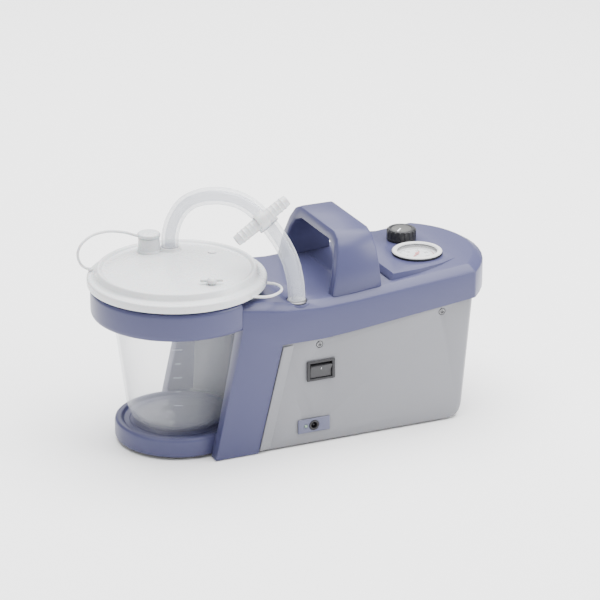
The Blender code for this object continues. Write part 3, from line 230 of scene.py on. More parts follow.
def circuitBoard(name, colour):
    finish = Recipe(name, colour, Roughness=0.4)
    tracks = finish.node("ShaderNodeTexBrick", {},
                         {"Vector": finish.spot(), "Scale": 90, "Mortar Size": 0.06}, out=1)
    finish.set("Base Color", finish.blend(tracks, finish.colour, finish.shaded(2.2)))
    finish.set("Roughness", 0.35 + tracks * 0.2)
    finish.bump(tracks, 0.00005, 0.4)
    return finish.material


dial = {"zero": 225.0, "sweep": 270.0, "inner": 11.6 * mm, "outer": 14.2 * mm, "fine": 50, "coarse": 10,
        "ink": (0.02, 0.02, 0.025), "red": (0.42, 0.03, 0.03)}


def printedDial(name, colour):
    finish = Recipe(name, colour, Roughness=0.42)
    place = finish.node("ShaderNodeSeparateXYZ", {}, {0: finish.node("ShaderNodeMapping", {}, {
        "Vector": finish.spot(), "Location": (-gaugeAt.x, -gaugeAt.y, 0)})})
    x = place
    y = Wire(finish, place.socket.node.outputs[1])
    reach = (x * x + y * y).bent("SQRT")
    bearing = finish.node("ShaderNodeMath", {"operation": "ARCTAN2"}, {0: y, 1: x})
    turned = (radians(dial["zero"]) - bearing) % (2 * pi)    # clockwise from zero
    onScale = turned < radians(dial["sweep"] + 0.6)

    def ticks(count, width, inner):
        step = radians(dial["sweep"]) / count
        near = ((turned + step / 2) % step - step / 2).bent("ABSOLUTE") * reach < width
        return near * (reach > inner) * (reach < dial["outer"]) * onScale

    fine = ticks(dial["fine"], 0.09 * mm, dial["inner"] + 1.4 * mm)
    coarse = ticks(dial["coarse"], 0.2 * mm, dial["inner"])
    arc = (reach > dial["outer"]) * (reach < dial["outer"] + 0.3 * mm) * onScale
    printed = fine + coarse + arc
    paper = finish.blend(finish.noise(700, 2), finish.shaded(0.97), finish.shaded(1.02))
    band = (turned > radians(dial["sweep"] * 0.8)) * onScale * (reach > dial["outer"] - 0.7 * mm) \
        * (reach < dial["outer"])
    finish.set("Base Color", finish.blend(printed > 0.5, finish.blend(band, paper, dial["red"]),
                                          dial["ink"]))
    finish.set("Roughness", 0.45 - (printed > 0.5) * 0.12)
    return finish.material


print("finishes")
finishes = {
    "blue_plastic": mouldedPlastic("bluePlastic", (0.059, 0.061, 0.132), 0.34, Specular_IOR_Level=0.3),
    "grey_plastic": mouldedPlastic("greyPlastic", (0.205, 0.208, 0.226), 0.38, Specular_IOR_Level=0.35),
    "clear_plastic": clearPlastic("clearPlastic", (0.62, 0.64, 0.70), 0.085, 0.62),
    "milky_plastic": mouldedPlastic("milkyPlastic", (0.60, 0.615, 0.63), 0.28, grain=500, depth=0.00001,
                                    mottle=0.015,
                                    Subsurface_Weight=0.15, Subsurface_Scale=0.003, Coat_Weight=0.2,
                                    Coat_Roughness=0.15),
    "silicone": clearPlastic("siliconeTube", (0.78, 0.80, 0.84), 0.26, 0.9, rough=0.15),
    "black_plastic": mouldedPlastic("blackPlastic", (0.022, 0.022, 0.025), 0.38, Specular_IOR_Level=0.35),
    "dark_grey": mouldedPlastic("darkGreyPlastic", (0.085, 0.085, 0.095), 0.42),
    "plate_grey": mouldedPlastic("plateGrey", (0.10, 0.105, 0.17), 0.4, grain=2600, depth=0.00002),
    "dial_white": printedDial("dialPrint", (0.58, 0.59, 0.62)),
    "rubber": rubberFinish("footRubber", (0.03, 0.03, 0.03)),
    "steel": machinedMetal("platedSteel", (0.56, 0.56, 0.57)),
    "brass": machinedMetal("turnedBrass", (0.60, 0.45, 0.20), 0.28),
    "aluminium": machinedMetal("castAluminium", (0.62, 0.63, 0.65), 0.42, (300, 300, 300)),
    "board_green": circuitBoard("circuitBoard", (0.03, 0.16, 0.07)),
    "lamp_green": mouldedPlastic("lampLens", (0.22, 0.34, 0.24), 0.12, Coat_Weight=0.5),
    "needle_red": mouldedPlastic("needlePaint", (0.50, 0.03, 0.03), 0.3),
}
screwSteel = machinedMetal("blackenedSteel", (0.22, 0.22, 0.23), 0.4, (400, 400, 400))
rockerGrey = mouldedPlastic("rockerGrey", (0.04, 0.04, 0.043), 0.35, Specular_IOR_Level=0.35)
# darker blue-grey copy of the hose's silicone: painted shade for the inside of the hose's bore
tubeBore = clearPlastic("tubeBore", (0.42, 0.46, 0.58), 0.30, 0.75, rough=0.2)
bareWhite = mouldedPlastic("whitePlastic", (0.62, 0.62, 0.62), 0.35)
printInk = mouldedPlastic("printInk", (0.02, 0.02, 0.025), 0.5)
paleInk = mouldedPlastic("paleInk", (0.75, 0.76, 0.78), 0.5)
knobTop = mouldedPlastic("knobTop", (0.09, 0.09, 0.088), 0.45, Specular_IOR_Level=0.3)
graduationInk = mouldedPlastic("graduationInk", (0.30, 0.31, 0.36), 0.5)


# Modelling helpers

letterLift = 0.00005                        # how far letters stand out


def deselect():
    if bpy.context.mode != "OBJECT":
        bpy.ops.object.mode_set(mode="OBJECT")
    bpy.ops.object.select_all(action="DESELECT")


def openEdit(item):
    deselect()
    item.select_set(True)
    bpy.context.view_layer.objects.active = item
    bpy.ops.object.mode_set(mode="EDIT")
    bpy.ops.mesh.select_all(action="SELECT")


def closeEdit():
    bpy.ops.object.mode_set(mode="OBJECT")


def newPiece(name, mesh):
    item = bpy.data.objects.new(name, mesh)
    bpy.context.scene.collection.objects.link(item)
    return item


def applyAll(item):
    deselect()
    item.select_set(True)
    bpy.context.view_layer.objects.active = item
    for step in list(item.modifiers):
        bpy.ops.object.modifier_apply(modifier=step.name)
    bpy.ops.object.transform_apply(location=True, rotation=True, scale=True)


def smooth(item, angle=35):
    deselect()
    item.select_set(True)
    bpy.context.view_layer.objects.active = item
    bpy.ops.object.shade_smooth_by_angle(angle=radians(angle))


def bevelEdges(item, width, segments=2, angle=32):
    step = item.modifiers.new("softEdges", "BEVEL")
    step.width = width
    step.segments = segments
    step.limit_method = "ANGLE"
    step.angle_limit = radians(angle)
    step.use_clamp_overlap = True
    applyAll(item)


def settle(item, node, finish=None, replace=True):
    # the piece takes a node's body, slot and, unless told otherwise, its finish
    item.data.materials.clear()
    item.data.materials.append(finish or finishes[slotOf[node]])
    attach(item, bodyOf[node])
    if replace:
        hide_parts(node)
    return item


def roundCorners(outline, radius, steps=3):
    # swaps each inner corner of an outline for a short curve
    soft = [outline[0]]
    for before, here, after in zip(outline, outline[1:], outline[2:]):
        a, b, c = Vector(before), Vector(here), Vector(after)
        back = min(radius, (a - b).length * 0.45)
        ahead = min(radius, (c - b).length * 0.45)
        start = b + (a - b).normalized() * back
        end = b + (c - b).normalized() * ahead
        for i in range(steps + 1):
            t = i / steps
            soft.append(tuple((1 - t) ** 2 * start + 2 * t * (1 - t) * b + t * t * end))
    soft.append(outline[-1])
    return soft


def turnedPiece(name, outline, at, steps=96, soft=0.0, closed=False):
    # spins an outline of (radius, height) round the upright through at
    if closed:
        outline = outline + outline[:1]
    if soft:
        outline = roundCorners(outline, soft)
    mesh = bpy.data.meshes.new(name)
    mesh.from_pydata([(at[0] + r, at[1], z) for r, z in outline],
                     [(i, i + 1) for i in range(len(outline) - 1)], [])
    item = newPiece(name, mesh)
    openEdit(item)
    bpy.ops.mesh.spin(steps=steps, angle=2 * pi, center=(at[0], at[1], 0), axis=(0, 0, 1))
    bpy.ops.mesh.select_all(action="SELECT")
    bpy.ops.mesh.remove_doubles(threshold=0.000005)
    bpy.ops.mesh.normals_make_consistent(inside=False)
    closeEdit()
    return item


def mouldingFrom(node, name, width=0.5 * mm, segments=2, angle=32, merge=0.00002):
    # the node's own shape with softened edges
    item = newPiece(name, nodes[node].data.copy())
    openEdit(item)
    bpy.ops.mesh.remove_doubles(threshold=merge)
    bpy.ops.mesh.dissolve_limited(angle_limit=radians(0.6))
    closeEdit()
    if width:
        bevelEdges(item, width, segments, angle)
    smooth(item)
    return item


def tubeAlong(name, points, radius, sides=4):
    curve = bpy.data.curves.new(name, "CURVE")
    curve.dimensions = "3D"
    curve.bevel_depth = radius
    curve.bevel_resolution = sides
    curve.resolution_u = 8
    curve.use_fill_caps = True
    spline = curve.splines.new("BEZIER")
    spline.bezier_points.add(len(points) - 1)
    for knot, point in zip(spline.bezier_points, points):
        knot.co = point
        knot.handle_left_type = "AUTO"
        knot.handle_right_type = "AUTO"
    return newPiece(name, curve)


def cylinderAt(name, at, radius, depth, sides=32):
    deselect()
    bpy.ops.mesh.primitive_cylinder_add(vertices=sides, radius=radius, depth=depth, location=at)
    item = bpy.context.object
    item.name = name
    return item


def boxAt(name, at, size, turn=0.0):
    deselect()
    bpy.ops.mesh.primitive_cube_add(size=1, location=at, rotation=(0, 0, turn))
    item = bpy.context.object
    item.name = name
    item.scale = size
    bpy.ops.object.transform_apply(location=False, rotation=False, scale=True)
    return item


def joinInto(item, others):
    deselect()
    for other in others:
        other.select_set(True)
    item.select_set(True)
    bpy.context.view_layer.objects.active = item
    bpy.ops.object.join()
    applyAll(item)
    return item


def carve(item, tool):
    step = item.modifiers.new("carve", "BOOLEAN")
    step.operation = "DIFFERENCE"
    step.object = tool
    step.solver = "EXACT"
    applyAll(item)
    bpy.data.objects.remove(tool)
    return item


def lettering(name, words, at, size, tilt, finish, node):
    text = bpy.data.curves.new(name, "FONT")
    text.body = words
    text.size = size
    text.align_x = "CENTER"
    text.align_y = "CENTER"
    text.extrude = letterLift
    item = newPiece(name, text)
    item.location = at
    item.rotation_euler = tilt
    deselect()
    item.select_set(True)
    bpy.context.view_layer.objects.active = item
    bpy.ops.object.convert(target="MESH")
    item = bpy.context.object
    applyAll(item)
    return settle(item, node, finish, replace=False)


# Hose between the lid and the deck, with the catheter connector parked on it

hoseParts = {
    "route": [(0.0099, 0.0391, 0.1489), (0.0100, 0.0390, 0.1570), (0.0114, 0.0377, 0.1658),
              (0.0141, 0.0350, 0.1750), (0.0188, 0.0290, 0.1852), (0.0256, 0.0205, 0.1926),
              (0.0347, 0.0092, 0.1972), (0.0438, -0.0022, 0.1986), (0.0522, -0.0128, 0.1966),
              (0.0595, -0.0218, 0.1909), (0.0652, -0.0290, 0.1832), (0.0706, -0.0358, 0.1742),
              (0.0751, -0.0413, 0.1648), (0.0786, -0.0455, 0.1540), (0.0808, -0.0483, 0.1420),
              (0.0818, -0.0497, 0.1310), (0.0820, -0.0500, 0.1227)],
    "radius": 7.0 * mm, "bore": 4.1 * mm,
    "connector": (0.0565, -0.0400, 0.1892), "direction": (0.837, 0.0, 0.547), "half": 25.8 * mm,
    "grips": 4,
}


def makeHose():
    print("hose")
    route = [(x + jarX, y, z) for x, y, z in hoseParts["route"]]
    hose = tubeAlong("vacuumHose", route, hoseParts["radius"], sides=6)
    settle(hose, "vacuum_hose")
    # inner wall of the hose, tinted darker as painted shade inside the bore
    bore = tubeAlong("hoseBore", route, hoseParts["bore"], sides=4)
    settle(bore, "vacuum_hose", tubeBore, replace=False)
    # barbed connector, turned upright and then laid along its direction
    half = hoseParts["half"]
    outline = [(2.9 * mm, -half), (4.3 * mm, -half)]
    for i in range(hoseParts["grips"]):                  # grip rings towards each end
        z = -half + (4 + 4 * i) * mm
        outline += [(4.6 * mm + 0.1 * mm * i, z), (5.2 * mm, z + 0.6 * mm),
                    (4.7 * mm + 0.1 * mm * i, z + 1.8 * mm)]
    outline += [(5.3 * mm, -3 * mm), (5.3 * mm, 3 * mm)]
    outline += [(r, -z) for r, z in reversed(outline[:-2])]
    connector = turnedPiece("catheterConnector", outline, (0, 0), 40, 0.3 * mm, closed=True)
    along = Vector(hoseParts["direction"]).to_track_quat("Z", "Y").to_matrix().to_4x4()
    middle = Vector(hoseParts["connector"]) + Vector((jarX, 0, 0))
    connector.matrix_world = Matrix.Translation(middle) @ along
    applyAll(connector)
    smooth(connector)
    settle(connector, "catheter_connector")
    clip = mouldingFrom("hose_clip", "hoseClip", 0.4 * mm)
    settle(clip, "hose_clip")
    length = sum((Vector(b) - Vector(a)).length for a, b in zip(route, route[1:]))
    length * 1.002


# Housing

mouldings = {                   # node: (piece, softening of its edges)
    "top_cover": ("topCover", 0.7 * mm),
    "carry_handle": ("carryHandle", 0.6 * mm),
    "lower_shell": ("lowerShell", 0.5 * mm),
    "base_plate": ("basePlate", 0.3 * mm),
    "front_foot": ("frontFoot", 0.6 * mm),
    "rear_foot": ("rearFoot", 0.6 * mm),
    "switch_frame": ("switchFrame", 0.3 * mm),
    "inlet_plate": ("inletPlate", 0.3 * mm),
    "dc_jack": ("chargeSocket", 0.2 * mm),
    "charge_lamp": ("chargeLamp", 0.2 * mm),
    "float_cage": ("floatCage", 0.2 * mm),
}


def makeMouldings():
    for node, (name, width) in mouldings.items():
        print("moulding", name)
        settle(mouldingFrom(node, name, width), node)


collar = {"corner": 1.6 * mm, "width": 12.3 * mm, "seam": 30.4 * mm, "seamRound": 0.7 * mm}


def makeCollar():
    print("collar")
    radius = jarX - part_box("jar_collar")[0].x
    bore = radius - collar["width"]
    outline = [(bore, collarTop), (bore, collarLow), (radius - 3.5 * mm, collarLow),
               (radius - 1.0 * mm, collarLow + 1.2 * mm), (radius, collarLow + 3.6 * mm),
               (radius, collarTop - 2.2 * mm), (radius - 1.9 * mm, collarTop)]
    ring = turnedPiece("jarCollar", outline, (jarX, 0), 144, collar["corner"], closed=True)
    openEdit(ring)
    # parting line against the deck
    bpy.ops.mesh.bisect(plane_co=(jarX + collar["seam"], 0, 0), plane_no=(1, 0, 0), use_fill=True,
                        clear_outer=True)
    closeEdit()
    bevelEdges(ring, collar["seamRound"], 3, 50)
    smooth(ring)
    settle(ring, "jar_collar")


tray = {"lip": 4.6 * mm, "groove": 0.7 * mm, "recess": 2.3 * mm, "floorThick": 3 * mm, "wall": 2.6 * mm,
        "wallLow": 2.6 * mm, "passageX": 41 * mm, "passage": (42 * mm, 73.2 * mm, 12.2 * mm)}


def makeTray():
    print("tray")
    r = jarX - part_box("jar_tray")[0].x
    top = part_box("jar_tray")[1].z
    floor = top - tray["recess"]
    outline = [(0, floor), (r - 14 * mm, floor), (r - 14 * mm - tray["groove"], floor - 0.4 * mm),
               (r - 12.6 * mm, floor - 0.4 * mm), (r - 12 * mm, floor), (r - 7.6 * mm, floor),
               (r - 5.8 * mm, top - 0.3 * mm), (r - tray["lip"], top), (r - 2.2 * mm, top),
               (r - 0.5 * mm, top - 1.2 * mm), (r, top - 3.4 * mm), (r, tray["wallLow"] + 1.8 * mm),
               (r - 0.8 * mm, tray["wallLow"]), (r - tray["wall"], tray["wallLow"]),
               (r - tray["wall"], floor - tray["floorThick"]), (0, floor - tray["floorThick"])]
    dish = turnedPiece("jarTray", outline, (jarX, 0), 128, 0.5 * mm)
    carve(dish, boxAt("passage", (jarX + tray["passageX"], 0, 0), tray["passage"]))
    smooth(dish)
    settle(dish, "jar_tray")


flange = {"width": 10 * mm, "proud": 2.4 * mm, "footX": 44.2 * mm, "topX": 65.2 * mm, "footZ": 3 * mm,
          "topZ": 88.5 * mm, "lip": 2.2 * mm, "buried": 0.4 * mm, "edge": 0.05 * mm}


def makeFlange():
    # the shell's face flares out beside the column
    print("flange")
    faces = []
    for side, y in ((-1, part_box("lower_shell")[0].y), (1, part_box("lower_shell")[1].y)):
        spots = []
        for x, z in ((flange["footX"], flange["footZ"]), (flange["topX"], flange["topZ"])):
            near = jarX + x
            far = near + flange["width"]
            outer = y + side * flange["proud"]
            inner = y - side * flange["buried"]
            spots += [(near, inner, z), (near, outer, z), (near + flange["lip"], outer, z),
                      (far, y + side * flange["edge"], z), (far, inner, z)]
        mesh = bpy.data.meshes.new("shellFlange")
        sides = [(i, (i + 1) % 5, (i + 1) % 5 + 5, i + 5) for i in range(5)]
        mesh.from_pydata(spots, [], sides + [(4, 3, 2, 1, 0), (5, 6, 7, 8, 9)])
        faces.append(newPiece("shellFlange", mesh))
    strip = joinInto(faces[0], faces[1:])
    openEdit(strip)
    bpy.ops.mesh.normals_make_consistent(inside=False)
    closeEdit()
    bevelEdges(strip, 0.4 * mm, 2, 8)
    smooth(strip)
    settle(strip, "lower_shell", replace=False)


# Jar, lid and float

jar = {"wall": 2.1 * mm, "marks": 7, "markLow": 28 * mm, "markStep": 12.5 * mm, "markWidth": 9.0,
       "markFacing": -112.0, "shortMark": 0.6, "markSteps": 6, "mark": (0.12 * mm, 0.5 * mm)}


def makeJar():
    print("jar")
    rim = sizeOf("jar").x / 2
    r = rim - 13.2 * mm
    low = jarLow
    slim = r - 10.1 * mm
    straight = rimTop - 7 * mm
    outline = [(0, low + 4.4 * mm), (12 * mm, low + 4.1 * mm), (15 * mm, low + 2.8 * mm),
               (32 * mm, low + 2.8 * mm), (slim - 7.6 * mm, low + 6.6 * mm),
               (slim - 4.6 * mm, low + 13 * mm), (slim - 3.1 * mm, low + 21 * mm),
               (slim - 2.0 * mm, low + 31 * mm), (r - jar["wall"], straight),
               (r - jar["wall"] + 0.2 * mm, rimTop), (rim, rimTop), (rim, rimTop - 3 * mm),
               (r + 0.3 * mm, rimTop - 3 * mm), (r, straight), (slim, low + 30.4 * mm),
               (slim - 1.2 * mm, low + 20 * mm), (slim - 2.8 * mm, low + 11.5 * mm),
               (slim - 6.2 * mm, low + 4.4 * mm), (33 * mm, low), (31 * mm, low + 0.1 * mm),
               (29.5 * mm, low + 1.0 * mm), (0, low + 1.4 * mm)]
    vessel = turnedPiece("jar", outline, (jarX, 0), 128, 1.5 * mm)
    smooth(vessel)
    settle(vessel, "jar")
    # graduations printed on the outside, at the switch side
    marks = []
    facing = radians(jar["markFacing"])
    steps = jar["markSteps"]
    depth, tall = jar["mark"]
    for i in range(jar["marks"]):
        z = low + jar["markLow"] + i * jar["markStep"]
        reach = slim + (r - slim) * (z - low - 30.4 * mm) / (straight - low - 30.4 * mm)
        wide = jar["markWidth"] * (1.0 if i % 2 == 0 else jar["shortMark"])
        for k in range(steps):
            a = facing + radians(wide) * (k - (steps - 1) / 2) / steps
            marks.append(boxAt("mark", (jarX + reach * cos(a), reach * sin(a), z),
                               (depth, reach * radians(wide) / steps, tall), a))
    scale = joinInto(marks[0], marks[1:])
    scale.name = "jarMarks"
    settle(scale, "jar", graduationInk, replace=False)


lid = {"hosePort": (9.9 * mm, 39.1 * mm), "cappedPort": (-7.0 * mm, 42.5 * mm),
       "vent": (10.6 * mm, -47.1 * mm), "mark": (38.1 * mm, 18.7 * mm), "boreDepth": 20 * mm}


def makeLid():
    print("lid")
    r = lidRadius
    t = rimTop
    plug = r - 19.6 * mm
    outline = [(0, t + 12.5 * mm), (30 * mm, t + 11.9 * mm), (r - 20 * mm, t + 10.9 * mm),
               (r - 15 * mm, t + 10.2 * mm), (r - 12.6 * mm, t + 9.7 * mm),
               (r - 11 * mm, t + 11.4 * mm), (r - 9.4 * mm, t + 12.1 * mm),
               (r - 7.9 * mm, t + 11.3 * mm), (r - 6.2 * mm, t + 6.7 * mm), (r - 4 * mm, t + 5.4 * mm),
               (r - 1 * mm, t + 4.9 * mm), (r, t + 3.7 * mm), (r, t - 0.9 * mm),
               (r - 0.6 * mm, t - 1.7 * mm), (r - 3.4 * mm, t - 1.7 * mm), (r - 3.4 * mm, t + 1.9 * mm),
               (plug + 0.3 * mm, t + 1.9 * mm), (plug, t - 7.3 * mm), (plug - 1.8 * mm, t - 7.3 * mm),
               (plug - 2 * mm, t + 7.2 * mm), (0, t + 9.7 * mm)]
    cover = turnedPiece("jarLid", outline, (jarX, 0), 144, 0.9 * mm)
    for (x, y), bore in ((lid["hosePort"], 6.7 * mm), (lid["cappedPort"], 6.6 * mm),
                         (lid["vent"], 2.7 * mm)):
        carve(cover, cylinderAt("bore", (jarX + x, y, t + 8 * mm), bore, lid["boreDepth"], 40))
    smooth(cover, 40)
    settle(cover, "jar_lid")
    # collars round the two ports, and the raised disc
    x, y = lid["hosePort"]
    collarRing = turnedPiece("hosePortBoss", [(7.3 * mm, t + 14.2 * mm), (8.3 * mm, t + 14.2 * mm),
                                              (8.7 * mm, t + 12.9 * mm), (9.6 * mm, t + 11.6 * mm),
                                              (6.9 * mm, t + 9.8 * mm), (6.9 * mm, t + 13.6 * mm)],
                             (jarX + x, y), 48, 0.3 * mm, closed=True)
    smooth(collarRing)
    settle(collarRing, "jar_lid", replace=False)
    x, y = lid["cappedPort"]
    chimney = turnedPiece("cappedPortBoss", [(6.7 * mm, t + 23.6 * mm), (8.5 * mm, t + 23.6 * mm),
                                             (8.7 * mm, t + 22.6 * mm), (8.9 * mm, t + 13.6 * mm),
                                             (10 * mm, t + 11.8 * mm), (6.7 * mm, t + 9.8 * mm)],
                          (jarX + x, y), 48, 0.4 * mm, closed=True)
    smooth(chimney)
    settle(chimney, "jar_lid", replace=False)
    x, y = lid["mark"]
    disc = turnedPiece("lidDisc", [(0, t + 12.2 * mm), (2.6 * mm, t + 12.3 * mm),
                                   (3.4 * mm, t + 12.5 * mm), (3.9 * mm, t + 11 * mm),
                                   (0, t + 11 * mm)], (jarX + x, y), 32, 0.2 * mm)
    smooth(disc)
    settle(disc, "jar_lid", replace=False)
    # gasket under the lid's flange
    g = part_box("lid_gasket")
    out = (g[1].x - g[0].x) / 2
    low, high = g[0].z, g[1].z
    band = turnedPiece("lidGasket", [(out, high), (out, low), (plug + 1 * mm, low),
                                     (plug + 1 * mm, high)], (jarX, 0), 96, 0.2 * mm, closed=True)
    smooth(band)
    settle(band, "lid_gasket")


cap = {
    "ribs": 20, "rib": (0.7 * mm, 0.8 * mm, 2 * mm), "ribReach": 9 * mm,
    "eye": (-60.7 * mm, 33.8 * mm),
    "wings": (18 * mm, 2.4 * mm, 2.6 * mm), "wingsTurn": -18.4,
    "strand": 1.1 * mm,
    "tether": [(-16.6, 42.5, 160), (-32, 41.5, 166), (-50, 39, 168.5), (-62.5, 36.5, 165.5),
               (-70, 34.6, 158), (-69.8, 34.4, 149.5), (-65.2, 34.2, 143), (-60.9, 33.9, 141.3)],
    "loop": [(61.4, -39.6, 136), (66.2, -44.5, 136), (67.4, -53.5, 135.6), (61, -62, 135.4),
             (49.5, -66, 135.4), (39.2, -62.4, 135.8)],
}


def onObject(spots):
    # millimetres from the jar's axis, as places on the object
    return [(x * mm + jarX, y * mm, z * mm) for x, y, z in spots]


def makeCaps():
    print("caps and tethers")
    t = rimTop
    x, y = lid["cappedPort"]
    x += jarX
    top = turnedPiece("portCap", [(0, t + 27.3 * mm), (5 * mm, t + 27.2 * mm), (8 * mm, t + 27.2 * mm),
                                  (9.1 * mm, t + 26.4 * mm), (9.1 * mm, t + 24 * mm),
                                  (6.2 * mm, t + 24 * mm), (5.9 * mm, t + 16.7 * mm),
                                  (0, t + 16.7 * mm)], (x, y), 64, 0.5 * mm)
    ribs = []
    for i in range(cap["ribs"]):
        a = 2 * pi * i / cap["ribs"]
        reach = cap["ribReach"]
        ribs.append(boxAt("rib", (x + reach * cos(a), y + reach * sin(a), t + 25.2 * mm), cap["rib"], a))
    joinInto(top, ribs)
    smooth(top)
    settle(top, "port_cap")
    strand = tubeAlong("capTether", onObject(cap["tether"]), cap["strand"], 3)
    settle(strand, "cap_tether")
    eye = turnedPiece("tetherEye", [(0.9 * mm, 141.8 * mm), (2.2 * mm, 141.8 * mm),
                                    (2.2 * mm, 140.2 * mm), (0.9 * mm, 140.2 * mm)],
                      (jarX + cap["eye"][0], cap["eye"][1]), 32, 0.3 * mm, closed=True)
    smooth(eye)
    settle(eye, "cap_tether", replace=False)
    pull = tubeAlong("lidLoop", onObject(cap["loop"]), cap["strand"], 3)
    settle(pull, "lid_loop")
    vx, vy = lid["vent"]
    vx += jarX
    plug = turnedPiece("ventPlug", [(0, t + 16.9 * mm), (2.2 * mm, t + 16.5 * mm),
                                    (3.8 * mm, t + 14.9 * mm), (4.3 * mm, t + 12.6 * mm),
                                    (2.4 * mm, t + 12.6 * mm), (2.3 * mm, t + 4.7 * mm),
                                    (0, t + 4.7 * mm)], (vx, vy), 40, 0.4 * mm)
    wings = boxAt("wings", (vx, vy, t + 14.3 * mm), cap["wings"], radians(cap["wingsTurn"]))
    bevelEdges(wings, 0.9 * mm, 3)
    joinInto(plug, [wings])
    smooth(plug)
    settle(plug, "vent_plug")


def makeFloat():
    print("float")
    for node, name in (("float_ball", "floatBall"), ("float_seal", "floatSeal")):
        item = newPiece(name, nodes[node].data.copy())
        openEdit(item)
        bpy.ops.mesh.remove_doubles(threshold=0.00002)
        closeEdit()
        if node == "float_ball":
            step = item.modifiers.new("rounder", "SUBSURF")
            step.levels = 2
            step.render_levels = 2
            applyAll(item)
        smooth(item, 60)
        settle(item, node, bareWhite if node == "float_ball" else None)


# Instruments on the panel

gauge = {"labels": ["0", "20", "40", "60", "80", "100"], "labelReach": 8.9 * mm, "labelSize": 3.2 * mm}


def makeGauge():
    print("gauge")
    x, y, p = gaugeAt.x, gaugeAt.y, panelTop
    case = turnedPiece("gaugeCase", [(0, p - 2.1 * mm), (17.8 * mm, p - 2.1 * mm),
                                     (17.8 * mm, p + 1.4 * mm), (20.6 * mm, p + 1.4 * mm),
                                     (20.6 * mm, p + 0.3 * mm), (18.4 * mm, p + 0.3 * mm),
                                     (18.4 * mm, p - 19 * mm), (4 * mm, p - 19.4 * mm),
                                     (4 * mm, p - 27 * mm), (0, p - 27 * mm)], (x, y), 96, 0.3 * mm)
    smooth(case)
    settle(case, "gauge_case")
    face = turnedPiece("gaugeDial", [(0, p - 1.2 * mm), (17.5 * mm, p - 1.2 * mm),
                                     (17.5 * mm, p - 1.8 * mm), (0, p - 1.8 * mm)], (x, y), 96)
    smooth(face)
    settle(face, "gauge_dial")
    bezel = turnedPiece("gaugeBezel", [(16.4 * mm, p + 2.4 * mm), (17.3 * mm, p + 3.3 * mm),
                                       (18.6 * mm, p + 3.4 * mm), (19.6 * mm, p + 3.2 * mm),
                                       (20.6 * mm, p + 2.4 * mm), (20.6 * mm, p + 1.8 * mm),
                                       (16.4 * mm, p + 1.8 * mm)], (x, y), 96, 0.3 * mm, closed=True)
    smooth(bezel)
    settle(bezel, "gauge_bezel", bareWhite)
    window = turnedPiece("gaugeLens", [(0, p + 1.7 * mm), (12 * mm, p + 1.6 * mm),
                                       (17.5 * mm, p + 1.5 * mm), (17.5 * mm, p + 0.6 * mm),
                                       (0, p + 0.6 * mm)], (x, y), 96)
    smooth(window)
    settle(window, "gauge_lens", clearPlastic("gaugeWindow", (0.9, 0.9, 0.92), 0.05, 0.35, rough=0.03,
                                              ripple=0.00001))
    needle = mouldingFrom("gauge_needle", "gaugeNeedle", 0.0)
    settle(needle, "gauge_needle")
    for i, words in enumerate(gauge["labels"]):
        a = radians(dial["zero"] - dial["sweep"] * i / (len(gauge["labels"]) - 1))
        spot = (x + gauge["labelReach"] * cos(a), y + gauge["labelReach"] * sin(a), p - 1.18 * mm)
        lettering(f"gaugeNumber{i}", words, spot, gauge["labelSize"], (0, 0, 0), printInk, "gauge_dial")


knob = {"ribs": 18, "ribReach": 11.5 * mm, "rib": (1.5 * mm, 1.4 * mm, 6.6 * mm), "ribMiddle": 5.8 * mm,
        "pointer": (7.4 * mm, 1.1 * mm, 0.9 * mm), "pointerTurn": 45.0,
        "pointerAt": (-4.2 * mm, -4.2 * mm, 9.9 * mm)}


def makeKnob():
    print("knob")
    x, y, p = knobAt.x, knobAt.y, panelTop
    outline = [(0, p + 9.2 * mm), (8.6 * mm, p + 9.2 * mm), (9.2 * mm, p + 9.9 * mm),
               (10.8 * mm, p + 9.9 * mm), (11.6 * mm, p + 9.1 * mm), (12.0 * mm, p + 3 * mm),
               (12.3 * mm, p + 2 * mm), (12.3 * mm, p + 0.5 * mm), (9.4 * mm, p + 0.5 * mm),
               (9.4 * mm, p + 4 * mm), (0, p + 4 * mm)]
    grip = turnedPiece("vacuumKnob", outline, (x, y), 96, 0.4 * mm)
    ribs = []
    for i in range(knob["ribs"]):
        a = 2 * pi * i / knob["ribs"]
        reach = knob["ribReach"]
        ribs.append(boxAt("rib", (x + reach * cos(a), y + reach * sin(a), p + knob["ribMiddle"]),
                          knob["rib"], a))
    for rib in ribs:
        bevelEdges(rib, 0.35 * mm, 2)
    joinInto(grip, ribs)
    smooth(grip)
    settle(grip, "vacuum_knob")
    top = turnedPiece("knobCap", [(0, p + 9.6 * mm), (7.6 * mm, p + 9.6 * mm),
                                  (8.3 * mm, p + 9.25 * mm), (8.3 * mm, p + 9 * mm), (0, p + 9 * mm)],
                      (x, y), 64)
    smooth(top)
    settle(top, "vacuum_knob", knobTop, replace=False)
    dx, dy, dz = knob["pointerAt"]
    pointer = boxAt("knobPointer", (x + dx, y + dy, p + dz), knob["pointer"],
                    radians(knob["pointerTurn"]))
    bevelEdges(pointer, 0.25 * mm, 2)
    smooth(pointer)
    settle(pointer, "vacuum_knob", paleInk, replace=False)


# Switch, screws and hidden parts

switch = {"size": 3.2 * mm, "letters": (("rockerOn", "I", 0.7 * mm, 2.3 * mm, 113),
                                        ("rockerOff", "O", 1.9 * mm, -4.4 * mm, 87))}


def makeSwitch():
    print("switch")
    rocker = mouldingFrom("switch_rocker", "switchRocker", 0.3 * mm)
    settle(rocker, "switch_rocker", rockerGrey)
    middle = middleOf("switch_rocker")
    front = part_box("switch_rocker")[0].y
    for name, words, inset, rise, tilt in switch["letters"]:
        lettering(name, words, (middle.x, front + inset, middle.z + rise), switch["size"],
                  (radians(tilt), 0, 0), paleInk, "switch_rocker")


screw = {"recess": 1.1 * mm, "slot": 0.7 * mm, "cross": 3.2 * mm}


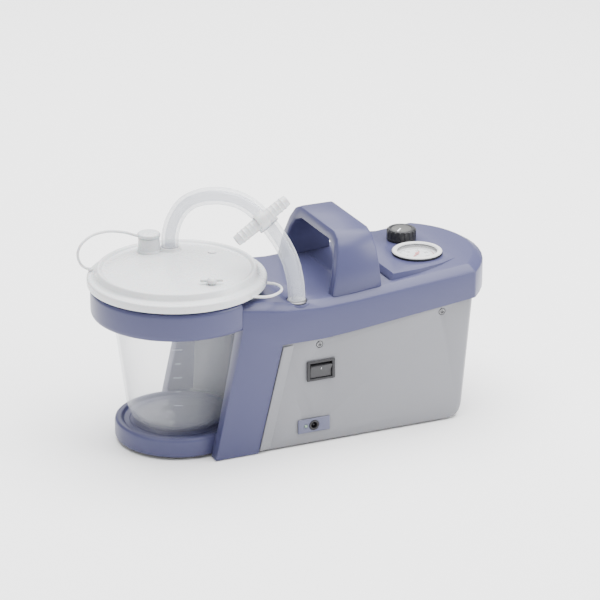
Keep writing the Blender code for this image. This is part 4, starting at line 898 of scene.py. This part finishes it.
def makeScrews():
    print("screws")
    for node in sorted(n for n in nodes if "_screw_" in n):
        item = mouldingFrom(node, node.replace("_screw_", "Screw").replace("_", ""), 0.15 * mm)
        low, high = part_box(node)
        if node[:4] in ("near", "far_"):                  # heads that show: a cross recess
            outer = low.y if node.startswith("near") else high.y
            middle = (low + high) / 2
            for wide, tall in ((screw["cross"], screw["slot"]), (screw["slot"], screw["cross"])):
                tool = boxAt("recess", (middle.x, outer, middle.z), (wide, 2 * screw["recess"], tall))
                carve(item, tool)
        smooth(item)
        settle(item, node, screwSteel)


def dressHidden():
    # nodes that keep their own shape, mostly inside the housing
    for node, item in nodes.items():
        finish = finishes[slotOf[node]]
        # the hose nipple takes the dark blackened steel as painted shade for the shadowed recess at the
        # hose's foot
        if node == "hose_nipple":
            finish = screwSteel
        if item.material_slots:
            item.material_slots[0].material = finish
        else:
            item.data.materials.append(finish)


# Floor and light

studio = {
    "floor": (0.95, 0.95, 0.952), "floorSize": 8, "world": 0.6,
    "lights": {                 # name: (place, aim, size, power)
        "top": ((0.2, 0.3, 2.5), (0, 0, 0), 3.0, 260.0),
        "key": ((1.3, -0.9, 0.9), (0, 0, 0.08), 0.9, 27.0),
        "fill": ((-1.2, -1.0, 0.8), (0, 0, 0.08), 1.0, 5.0),
        "rim": ((0.3, 1.4, 1.1), (0, 0, 0.1), 1.0, 8.0),
    },
}


def areaLight(name, at, aim, size, power):
    lamp = bpy.data.objects.new(name, bpy.data.lights.new(name, "AREA"))
    bpy.context.scene.collection.objects.link(lamp)
    lamp.data.energy = power
    lamp.data.size = size
    lamp.location = at
    lamp.rotation_euler = (Vector(aim) - Vector(at)).to_track_quat("-Z", "Y").to_euler()


def makeStudio():
    print("studio")
    deselect()
    bpy.ops.mesh.primitive_plane_add(size=studio["floorSize"], location=(0, 0, 0))
    floor = bpy.context.object
    floor.name = "floor"
    paper = Recipe("paperFloor", studio["floor"], Roughness=0.85)
    floor.data.materials.append(paper.material)
    world = bpy.data.worlds.new("studio")
    bpy.context.scene.world = world
    world.use_nodes = True
    world.node_tree.nodes["Background"].inputs[0].default_value = (1.0, 1.0, 1.0, 1.0)
    world.node_tree.nodes["Background"].inputs[1].default_value = studio["world"]
    for name, (at, aim, size, power) in studio["lights"].items():
        areaLight(name, at, aim, size, power)


makeHose()
makeMouldings()
makeCollar()
makeTray()
makeFlange()
makeJar()
makeLid()
makeCaps()
makeFloat()
makeGauge()
makeKnob()
makeSwitch()
makeScrews()
dressHidden()
makeStudio()

print("done")
